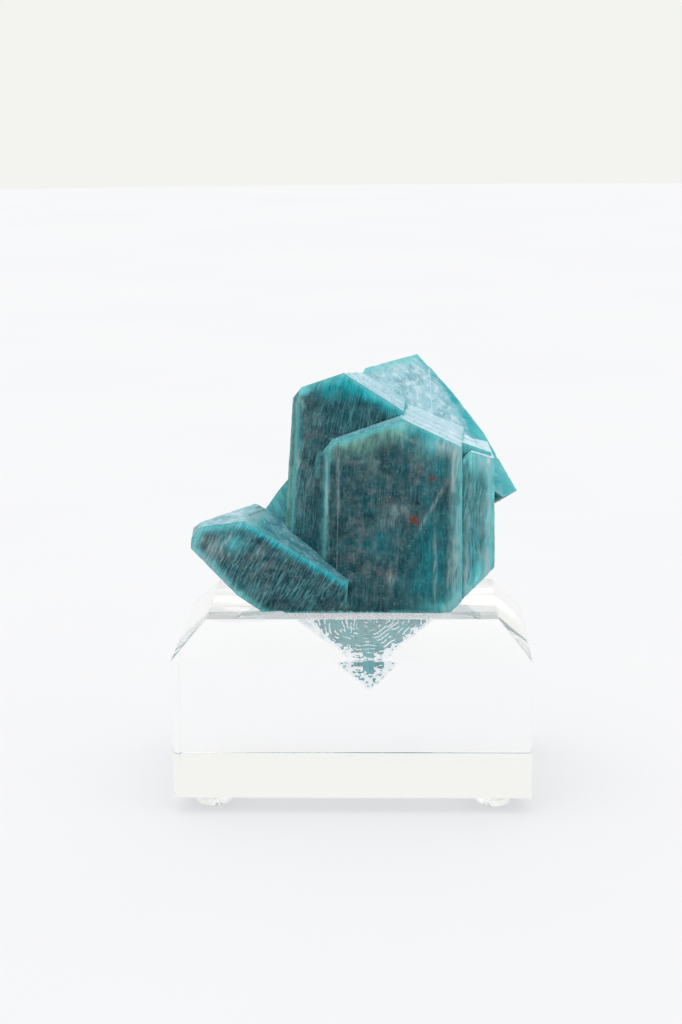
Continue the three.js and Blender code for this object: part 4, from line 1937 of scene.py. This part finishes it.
@dataclass
class DisplayBlock:
    """The clear bevelled block, with a pocket ground out for the stone's root."""

    node: str = "acrylic_base"
    seed: int = 5
    bevel_width: float = 7.0
    bevel_height: float = 7.4
    edge_round: float = 0.35
    edge_steps: int = 4
    sharp_angle: float = 50.0
    spacing: float = 0.2
    lip_share: float = 0.6
    wall_angle: float = 20.0
    rim_skip: float = 0.1
    on_plane: float = 0.01
    upwards: float = 0.99
    merge: float = 1e-7

    # The burr's grooves and the ground surface, as shapes.
    groove_depth: float = 0.05
    groove_pitch: float = 1.1
    groove_drifts: Tuple[Ripple, Ripple] = (Ripple(4.0, 2.0, 1.1), Ripple(1.4, 6.0, 0.4))
    groove_patch: Ripple = Ripple(2.2, 11.0, 2.2)
    groove_share: float = 0.25
    frosting: Ripple = Ripple(0.7, 14.0, 0.04)
    mouth_frays: Tuple[Ripple, Ripple] = (Ripple(0.9, 21.0, 0.08), Ripple(0.9, 22.0, 0.08))
    mouth_calm: float = 0.5
    mouth_reach: float = 0.6

    # The white arcs, upright scratches and frayed edges, as finishes.
    burr_drift: Ripple = Ripple(4.0, 2.0, 1.3)
    arc_pitch: float = 0.95
    arc_share: float = 0.24
    arc_breaks: Tuple[Ripple, Ripple] = (Ripple(1.5, 8.0), Ripple(4.5, 19.0, 0.5))
    arc_gaps: float = 0.12
    scratch_pitch: float = 0.8
    scratch_at: float = -0.5
    scratch_reach: float = 3.2
    scratch_depths: Pair = (13.0, 4.0)
    scratch_breaks: Ripple = Ripple(1.2, 31.0)
    scratch_draw: Triple = (1.0, 1.0, 0.4)
    scratch_limit: float = 0.9
    fray: float = 1.6
    fray_base: float = 0.55
    fray_wobble: Ripple = Ripple(1.3, 27.0)
    fray_growth: float = 1.2
    fray_depths: Pair = (7.5, 12.5)
    fray_holes: Ripple = Ripple(0.6, 35.0)
    fray_limit: float = -0.15

    wall_edge: Array = field(**LATER)

    def build(self, effects: Effects) -> Piece:
        """Makes the block and hands it to the frame.

        Args:
            effects: the shared node groups.

        Returns:
            The finished piece.
        """
        clear = ClearFinish("clear acrylic", (1.0, 1.0, 1.0, 1.0), 1.49, 0.004, 0.012)
        ground = ClearFinish("ground acrylic", (0.97, 0.99, 1.0, 1.0), 1.49, 0.1, 0.1, 0.03)
        # Painted light: the scored acrylic glows a little, standing for lamplight caught in the scratches.
        scored = ClearFinish("scored acrylic", (0.95, 0.96, 1.0, 1.0), 1.49, 0.4, 0.1, 0.85, 0.26)
        outer, faces, ring = self._outer()
        walls = self._pocket()
        base = len(outer)
        points = np.concatenate([outer, self._ground(walls)])
        mouth = [base + k for k in self._mouth(walls.triangles)]
        faces += self._top(points, ring, mouth)
        flat_count = len(faces)
        faces += (walls.triangles + base).tolist()
        mesh = make_mesh("acrylic_base_clear", points, faces)
        smooth_faces = np.arange(len(mesh.polygons)) >= flat_count
        mesh.polygons.foreach_set("use_smooth", smooth_faces)
        mesh.set_sharp_from_angle(angle=math.radians(self.sharp_angle))
        piece = show("acrylic_base_clear", mesh, clear.material(effects))
        mesh.materials.append(ground.material(effects))
        mesh.materials.append(scored.material(effects))
        index = smooth_faces.astype(np.int32)
        index[flat_count:] += self._scores(walls)
        mesh.polygons.foreach_set("material_index", index)
        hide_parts(self.node)
        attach(piece, BODY)
        return piece

    def _scores(self, walls: FineMesh) -> Array:
        """Tells which of the pocket's small faces the burr left white.

        Args:
            walls: the pocket's finely divided walls.

        Returns:
            1 for a white face and 0 for a clear one.
        """
        places = walls.points[walls.triangles].mean(1)
        across = places[:, 0] - CRYSTALS["root"].centre[0]
        down = places[:, 2].max() - places[:, 2]
        drift = self.burr_drift.at(places)
        arcs = self._lines(np.hypot(across, down) + drift, self.arc_pitch)
        arcs &= sum(ripple.at(places) for ripple in self.arc_breaks) > self.arc_gaps
        zone = np.exp(-(((places[:, 0] - self.scratch_at) / self.scratch_reach) ** 2))
        zone *= smooth(*self.scratch_depths, down)
        upright = self._lines(places[:, 0] + drift, self.scratch_pitch)
        upright &= self.scratch_breaks.at(places * self.scratch_draw) + zone > self.scratch_limit
        worn = self.fray_base + self.fray_wobble.at(places)
        worn += self.fray_growth * smooth(*self.fray_depths, down)
        fray = self.wall_edge[walls.triangles].mean(1) < self.fray * worn
        fray &= self.fray_holes.at(places) > self.fray_limit
        return (arcs | upright | fray).astype(np.int32)

    def _lines(self, run: Array, pitch: float) -> Array:
        """Tells which faces lie on one of many evenly spaced lines."""
        return np.abs((run / pitch) % 1.0 - 0.5) < self.arc_share / 2

    def _top(self, points: Array, ring: List[int], mouth: List[int]) -> List[List[int]]:
        """Fills the flat top between its outer ring and the pocket's mouth.

        Args:
            points: every point of the block.
            ring: the outer ring's points, in order.
            mouth: the mouth's points, in order.

        Returns:
            Triangles that look upwards.
        """
        order = [*ring, *mouth]
        count = len(ring)
        steps = [(k, (k + 1) % count) for k in range(count)]
        steps += [(count + k, count + (k + 1) % len(mouth)) for k in range(len(mouth))]
        places = [Vector(points[k][:2]) for k in order]
        made, _, faces, origin, _, _ = delaunay_2d_cdt(places, steps, [], 0, self.merge)
        faces = np.array([face for face in faces if len(face) == 3])
        middles = np.array([tuple(place) for place in made])[faces].mean(1)
        rim = points[mouth][:, :2]
        run = np.roll(rim, -1, axis=0) - rim
        rise = np.where(run[:, 1] == 0, 1.0, run[:, 1])
        away = (middles[:, None, 1] - rim[:, 1]) / rise
        crosses = (rim[:, 1] > middles[:, None, 1]) != (rim[:, 1] + run[:, 1] > middles[:, None, 1])
        beyond = middles[:, None, 0] < rim[:, 0] + away * run[:, 0]
        open_there = (crosses & beyond).sum(1) % 2 == 1
        return [[order[origin[k][0]] for k in face] for face in faces[~open_there]]

    def _outer(self) -> Tuple[Array, List[List[int]], List[int]]:
        """Makes the block's outside without its top.

        Returns:
            The points, the faces, and the ring of points around the top.
        """
        low, high = (np.array(corner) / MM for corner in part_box(self.node))
        levels = ((low[2], 0.0), (high[2] - self.bevel_height, 0.0), (high[2], self.bevel_width))
        shape = bmesh.new()
        rings = []
        for height, inset in levels:
            left, right = low[0] + inset, high[0] - inset
            near, far = low[1] + inset, high[1] - inset
            corners = ((left, near), (right, near), (right, far), (left, far))
            rings.append([shape.verts.new((x, y, height)) for x, y in corners])
        shape.faces.new(rings[0][::-1])
        shape.faces.new(rings[2])
        for lower, upper in zip(rings[:-1], rings[1:]):
            for k in range(4):
                n = (k + 1) % 4
                shape.faces.new((lower[k], lower[n], upper[n], upper[k]))
        bmesh.ops.bevel(
            shape,
            geom=list(shape.edges),
            offset=self.edge_round,
            segments=self.edge_steps,
            profile=0.5,
            affect="EDGES",
            clamp_overlap=True,
        )
        bmesh.ops.recalc_face_normals(shape, faces=list(shape.faces))
        shape.verts.ensure_lookup_table()
        shape.verts.index_update()
        top = max(shape.faces, key=lambda face: face.calc_center_median().z)
        ring = [vert.index for vert in top.verts]
        faces = [[vert.index for vert in face.verts] for face in shape.faces if face is not top]
        points = np.array([vert.co for vert in shape.verts])
        shape.free()
        return points, faces, ring

    def _pocket(self) -> FineMesh:
        """Divides the pocket's walls finely, without its open top.

        Returns:
            The walls, facing into the pocket.
        """
        solid = FlatSolid.from_node(self.node)
        outside = [float((solid.points @ f.normal - f.offset).max()) < self.on_plane for f in solid.flats]
        inner = np.array([t for f, out in zip(solid.flats, outside) if not out for t in f.triangles])
        walls = solid.triangles[inner][:, ::-1]
        ring = self._mouth(walls)
        ring_top = float(solid.points[ring][:, 2].max())
        lid = [[ring[0], ring[k], ring[k + 1]] for k in range(1, len(ring) - 1)]
        used, index = np.unique(np.concatenate([walls, lid]), return_inverse=True)
        plug = FlatSolid(solid.points[used], index.reshape(-1, 3))
        fine = plug.divided(self.spacing, self.spacing * self.lip_share, self.seed)
        lid_there = np.array([flat.normal[2] > self.upwards for flat in plug.flats])[fine.flat_of]
        corners = fine.points[fine.triangles]
        cross = np.cross(corners[:, 1] - corners[:, 0], corners[:, 2] - corners[:, 0])
        lid_there &= np.linalg.norm(cross, axis=1) > SLIVER
        kept = fine.triangles[~lid_there][:, ::-1]
        used, index = np.unique(kept, return_inverse=True)
        index = index.reshape(-1, 3)
        edges = [run for run in plug.edge_runs() if run.angle > self.wall_angle]
        marks = [run.marks for run in edges if run.marks[:, 2].min() < ring_top - self.rim_skip]
        self.wall_edge = nearest(fine.points[used], np.concatenate(marks))
        return FineMesh(fine.points[used], -fine.normals[used], index, fine.flat_of[~lid_there])

    @staticmethod
    def _mouth(triangles: Array) -> List[int]:
        """Walks the open border of a wall.

        Args:
            triangles: the wall's triangles.

        Returns:
            Its points, in the order that a face filling it would take.
        """
        sides = {(int(a), int(b)) for t in triangles for a, b in zip(t, np.roll(t, -1))}
        after = {b: a for a, b in sides if (b, a) not in sides}
        ring = [next(iter(after))]
        while after[ring[-1]] != ring[0]:
            ring.append(after[ring[-1]])
        return ring

    def _ground(self, walls: FineMesh) -> Array:
        """Scores the pocket's walls with the broken arcs and scratches that a burr leaves.

        Args:
            walls: the pocket's finely divided walls.

        Returns:
            The moved points.
        """
        points = walls.points
        depth = points[:, 2].max() - points[:, 2]
        drift = sum(ripple.at(points) for ripple in self.groove_drifts)
        arc = np.hypot(points[:, 0] - CRYSTALS["root"].centre[0], depth) + drift
        wave = np.sin(arc * 2 * math.pi / self.groove_pitch)
        patch = np.clip(self.groove_patch.at(points) + self.groove_share, 0, 1)
        shift = self.groove_depth * patch * wave + self.frosting.at(points)
        shift *= smooth(0.0, self.mouth_calm, depth)
        moved = points + walls.normals * shift[:, None]
        for axis, fray in enumerate(self.mouth_frays):
            moved[:, axis] += smooth(self.mouth_reach, 0.0, depth) * fray.at(points)
        return moved


@dataclass
class BumperFoot:
    """One clear soft foot: stuck on flat, domed, with a small flat where it stands."""

    node: str
    segments: int = 72
    rest_radius: float = 2.6
    rim_drop: float = 0.35
    rim_inset: float = 0.16
    rim_round: float = 0.4
    rest_round: float = 0.35
    film: float = 0.03
    dome_steps: int = 14
    sharp_angle: float = 40.0

    def build(self, material: Material) -> Piece:
        """Makes the foot and hands it to the frame.

        Args:
            material: the feet's shared material.

        Returns:
            The finished piece.
        """
        low, high = (np.array(corner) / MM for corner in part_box(self.node))
        centre = (low + high) / 2
        rings = self._rings((high[0] - low[0]) / 2, high[2] - low[2] - self.film)
        points = [(centre[0], centre[1], low[2]), (centre[0], centre[1], low[2] + rings[-1][1])]
        for radius, rise in rings:
            for k in range(self.segments):
                turn = 2 * math.pi * k / self.segments
                across, back = radius * math.cos(turn), radius * math.sin(turn)
                points.append((centre[0] + across, centre[1] + back, low[2] + rise))
        mesh = make_mesh(f"{self.node}_soft", np.array(points), self._faces(len(rings)))
        mesh.set_sharp_from_angle(angle=math.radians(self.sharp_angle))
        piece = show(f"{self.node}_soft", mesh, material)
        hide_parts(self.node)
        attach(piece, BODY)
        return piece

    def _rings(self, radius: float, height: float) -> List[Pair]:
        """Lays out the foot's profile.

        Args:
            radius: the foot's radius.
            height: its height, without the film it is stuck on with.

        Returns:
            The radius and the rise of each ring, from the rest upwards.
        """
        rings = [(self.rest_radius - self.rest_round, 0.0)]
        for step in range(1, self.dome_steps + 1):
            angle = math.pi / 2 * step / self.dome_steps
            spread = self.rest_radius + (radius - self.rest_radius) * math.sin(angle)
            rings.append((spread, (height - self.rim_drop) * (1 - math.cos(angle))))
        inset, drop = self.rim_inset * self.rim_round, self.rim_drop * self.rim_round
        return [*rings, (radius - inset, height - drop), (radius - self.rim_inset, height)]

    def _faces(self, rings: int) -> List[List[int]]:
        """Joins the rings, after a first point for the underside and a second for the top.

        Args:
            rings: how many rings there are.

        Returns:
            The faces.
        """
        faces: List[List[int]] = []
        count, last = self.segments, rings - 1
        for k in range(count):
            n = (k + 1) % count
            faces += [[0, 2 + n, 2 + k], [1, 2 + last * count + k, 2 + last * count + n]]
            for ring in range(last):
                start = 2 + ring * count
                faces.append([start + k, start + n, start + count + n, start + count + k])
        return faces


# ---------------------------------------------------------------- the studio


@dataclass
class Studio:
    """The floor, the light and the camera."""

    lens: float = 74.19
    sensor: float = 36.0
    nearest_view: float = 0.01
    camera_at: Triple = (13.47, -452.3, 154.27)
    yaw: float = 2.05
    pitch: float = 11.71
    roll: float = -0.53
    floor_radius: float = 2600.0
    floor_sides: int = 96
    floor_drop: float = 0.02
    sky: Colour = paint(243, 244, 240)
    soft_box: float = 1.1
    soft_box_way: Triple = (-0.104, -0.139, 0.985)
    soft_box_edges: Pair = (50.0, 20.0)
    clear_bounces: int = 24
    glossy_bounces: int = 16

    def build(self, effects: Effects) -> None:
        """Sets the stage.

        Args:
            effects: the shared node groups.
        """
        self._floor(effects)
        self._lights()
        self._camera()
        rays = bpy.context.scene.cycles
        rays.max_bounces = self.clear_bounces
        rays.glossy_bounces = self.glossy_bounces
        rays.transmission_bounces = self.clear_bounces
        view = bpy.context.scene.view_settings
        view.view_transform = "Standard"
        view.look = "None"

    def _floor(self, effects: Effects) -> None:
        """Lays a plain pale floor.

        Args:
            effects: the shared node groups.
        """
        points = [(0.0, 0.0, -self.floor_drop)]
        count = self.floor_sides
        for k in range(count):
            turn = 2 * math.pi * k / count
            across, back = self.floor_radius * math.cos(turn), self.floor_radius * math.sin(turn)
            points.append((across, back, -self.floor_drop))
        faces = [[0, 1 + k, 1 + (k + 1) % count] for k in range(count)]
        mesh = make_mesh("floor", np.array(points), faces)
        floor = show("floor", mesh, FloorFinish().material(effects))

    def _lights(self) -> None:
        """Lights the stage with a pale sky that brightens to a broad soft box overhead."""
        world = bpy.data.worlds.new("pale studio")
        bpy.context.scene.world = world
        world.use_nodes = True
        graph = Graph(world.node_tree)
        sky = world.node_tree.nodes["Background"]
        sky.inputs["Color"].default_value = self.sky
        aim = graph.node("ShaderNodeVectorMath", operation="DOT_PRODUCT")
        graph.feed(aim.inputs[0], graph.node("ShaderNodeTexCoord").outputs["Generated"])
        graph.feed(aim.inputs[1], self.soft_box_way)
        outer, inner = (math.cos(math.radians(edge)) for edge in self.soft_box_edges)
        box = graph.between(aim.outputs["Value"], outer, inner)
        graph.feed(sky.inputs["Strength"], graph.line(box, self.soft_box, 1.0))

    def _camera(self) -> None:
        """Sets the camera up where the object is seen from."""
        data = bpy.data.cameras.new("camera")
        data.lens = self.lens
        data.sensor_width = self.sensor
        data.clip_start = self.nearest_view
        camera = bpy.data.objects.new("camera", data)
        place = Matrix.Translation(Vector(self.camera_at) * MM)
        turn = Matrix.Rotation(math.radians(self.yaw), 4, "Z")
        tip = Matrix.Rotation(math.radians(90 - self.pitch), 4, "X")
        lean = Matrix.Rotation(math.radians(self.roll), 4, "Z")
        camera.matrix_world = place @ turn @ tip @ lean
        bpy.context.scene.collection.objects.link(camera)
        bpy.context.scene.camera = camera


# ---------------------------------------------------------------- the whole


def report(piece: Piece) -> None:
    """Logs what a finished piece holds."""
    points, faces = len(piece.data.vertices), len(piece.data.polygons)
    LOG.info("%s: %d points, %d faces", piece.name, points, faces)


def main() -> None:
    """Builds the specimen, its block and feet, and the studio."""
    logging.basicConfig(level=logging.INFO, format="%(name)s: %(message)s")
    effects = Effects()
    report(StoneCluster().build(effects))
    report(DisplayBlock().build(effects))
    finish = ClearFinish("clear soft foot", (0.985, 0.985, 0.97, 1.0), 1.48, 0.03, 0.05)
    soft = finish.material(effects)
    for node in sorted(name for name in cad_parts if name.startswith("foot_")):
        report(BumperFoot(node).build(soft))
    Studio().build(effects)


if __name__ == "__main__":
    main()
